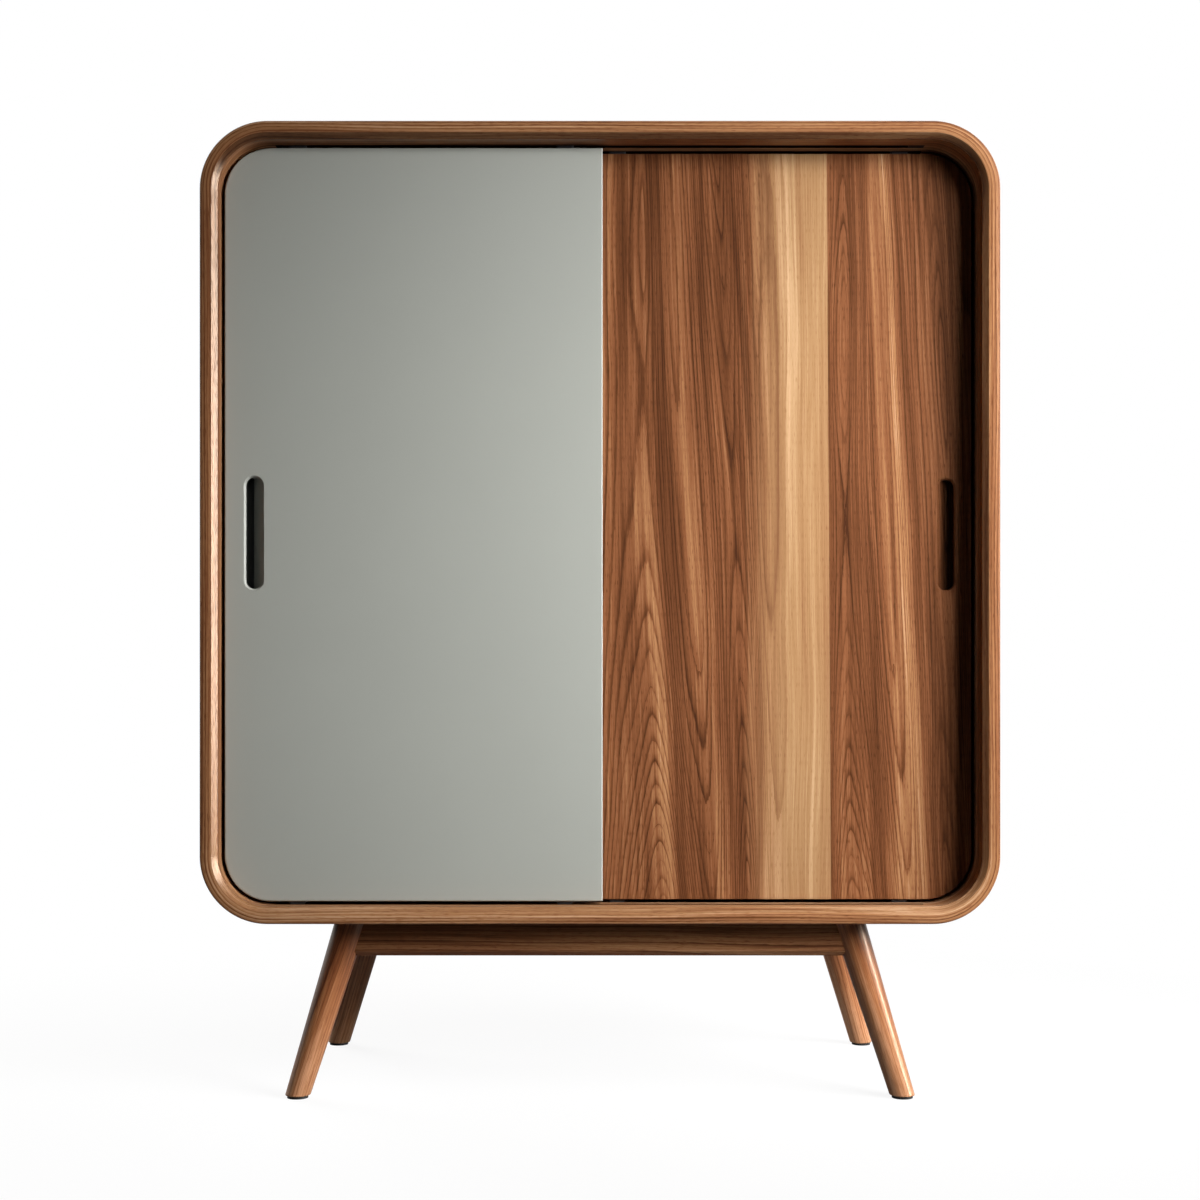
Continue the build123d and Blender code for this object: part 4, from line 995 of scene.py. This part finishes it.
class SetUpStudio(bpy.types.Operator):
    """Makes the floor, the surroundings, the lights and the camera"""

    bl_idname = "highboard.set_up_studio"
    bl_label = "Studio"

    def soft_light(self, settings, name):
        """A flat light that faces its aim and that the camera doesn't see, as an object."""
        parts = ("_place", "_aim", "_size", "_spread", "_power")
        place, aim, size, spread, power = (getattr(settings, name.split()[0] + part) for part in parts)
        light = bpy.data.lights.new(name, "AREA")
        light.shape = "RECTANGLE"
        light.size, light.size_y = size
        light.spread = spread
        light.energy = power
        stand = bpy.data.objects.new(name, light)
        stand.location = place
        stand.rotation_euler = (Vector(aim) - Vector(place)).to_track_quat("-Z", "Y").to_euler()
        stand.visible_camera = False
        bpy.context.scene.collection.objects.link(stand)
        return stand

    def execute(self, context):
        settings = context.scene.highboard_studio
        scene = context.scene
        scene.view_settings.view_transform = "Standard"
        half = settings.floor_size / 2
        corners = [(-half, -half, 0), (half, -half, 0), (half, half, 0), (-half, half, 0)]
        mesh = bpy.data.meshes.new("floor")
        mesh.from_pydata(corners, [], [(0, 1, 2, 3)])
        floor = bpy.data.objects.new("floor", mesh)
        scene.collection.objects.link(floor)
        mesh.materials.append(paper_floor())
        scene.world = studio_surroundings(settings.ambient)

        # The softboxes would show as white mirror images in the oiled top, and the strip gives sheen alone
        self.soft_light(settings, "key softbox").visible_glossy = False
        self.soft_light(settings, "kicker").visible_diffuse = False
        self.soft_light(settings, "back softbox").visible_glossy = False

        camera = bpy.data.cameras.new("camera")
        camera.lens = settings.lens
        camera.shift_y = settings.lens_rise
        camera.clip_end = 100.0
        stand = bpy.data.objects.new("camera", camera)
        stand.location = (0.0, -settings.camera_distance, settings.camera_height)
        stand.rotation_euler = (math.pi / 2, 0.0, 0.0)
        scene.collection.objects.link(stand)
        scene.camera = stand
        return {"FINISHED"}


def paper_floor():
    """White background paper: it goes white to the camera and keeps the cabinet's soft shadow.

    Away from the cabinet the paper is as bright as the backdrop, so no horizon shows.
    """
    material, put, place = new_material("White background paper")
    seen = put("ShaderNodeLightPath").outputs["Is Camera Ray"]
    fibres = put("ShaderNodeTexNoise", {"Vector": place, "Scale": 700.0})
    shift = put("ShaderNodeMapRange", {"Value": fibres, "To Min": 0.18, "To Max": 0.2})
    dim = put("ShaderNodeBsdfDiffuse", {"Color": shift})
    paper = put("ShaderNodeBsdfDiffuse", {"Color": (1.0, 1.0, 1.0, 1.0)})
    paper = put("ShaderNodeMixShader", seen, dim, paper)
    glow = put("ShaderNodeEmission", {"Color": (1.0, 1.0, 1.0, 1.0), "Strength": 1.0})
    away = put("VECTOR_LENGTH", place)
    share = put("ShaderNodeMapRange", {"Value": away, "From Min": 0.4, "From Max": 1.3, "To Min": 0.9})
    share = put("MULTIPLY", seen, share)
    put("ShaderNodeOutputMaterial", {"Surface": put("ShaderNodeMixShader", share, paper, glow)})
    return material


def studio_surroundings(ambient):
    """White all round for the camera, a white backdrop behind for reflections, and dim light elsewhere."""
    world = bpy.data.worlds.new("studio")
    world.use_nodes = True
    world.node_tree.nodes.clear()
    put = partial(add_node, world.node_tree)
    rays = put("ShaderNodeLightPath").outputs
    way = put("ShaderNodeSeparateXYZ", put("ShaderNodeTexCoord").outputs["Generated"]).outputs["Y"]
    behind = put("ShaderNodeMapRange", {"Value": way, "From Min": -0.25, "From Max": 0.35, "To Min": ambient})
    shiny = put("MAXIMUM", rays["Is Glossy Ray"], rays["Is Transmission Ray"])
    seen = put("ShaderNodeMix", {0: shiny, 2: ambient, 3: behind})
    strength = put("MAXIMUM", seen, rays["Is Camera Ray"])
    light = put("ShaderNodeBackground", {"Color": (1.0, 1.0, 1.0, 1.0), "Strength": strength})
    put("ShaderNodeOutputWorld", {"Surface": light})
    return world


class HighboardPanel(bpy.types.Panel):
    """Lists the steps in the sidebar, with the settings that they read"""

    bl_idname = "VIEW3D_PT_highboard"
    bl_label = "Highboard"
    bl_space_type = "VIEW_3D"
    bl_region_type = "UI"
    bl_category = "Highboard"

    def draw(self, context):
        for step in steps:
            self.layout.operator(step.bl_idname)
        for group_name in setting_groups:
            group = getattr(context.scene, group_name)
            for name in group.bl_rna.properties.keys():
                if name not in ("rna_type", "name"):
                    self.layout.prop(group, name)


steps = (FinishCase, FinishInside, FinishDoors, FinishBase, TurnLegs, FitHardware, SetUpStudio)
setting_groups = {
    "highboard_walnut": WalnutSettings,
    "highboard_lacquer": LacquerSettings,
    "highboard_studio": StudioSettings,
}


def register():
    for name, group in setting_groups.items():
        bpy.utils.register_class(group)
        setattr(bpy.types.Scene, name, PointerProperty(type=group))
    for step in (*steps, HighboardPanel):
        bpy.utils.register_class(step)


def unregister():
    for step in (HighboardPanel, *reversed(steps)):
        bpy.utils.unregister_class(step)
    for name, group in setting_groups.items():
        delattr(bpy.types.Scene, name)
        bpy.utils.unregister_class(group)


def main():
    register()
    for step in steps:
        category, name = step.bl_idname.split(".")
        getattr(getattr(bpy.ops, category), name)()


if __name__ == "__main__":
    main()
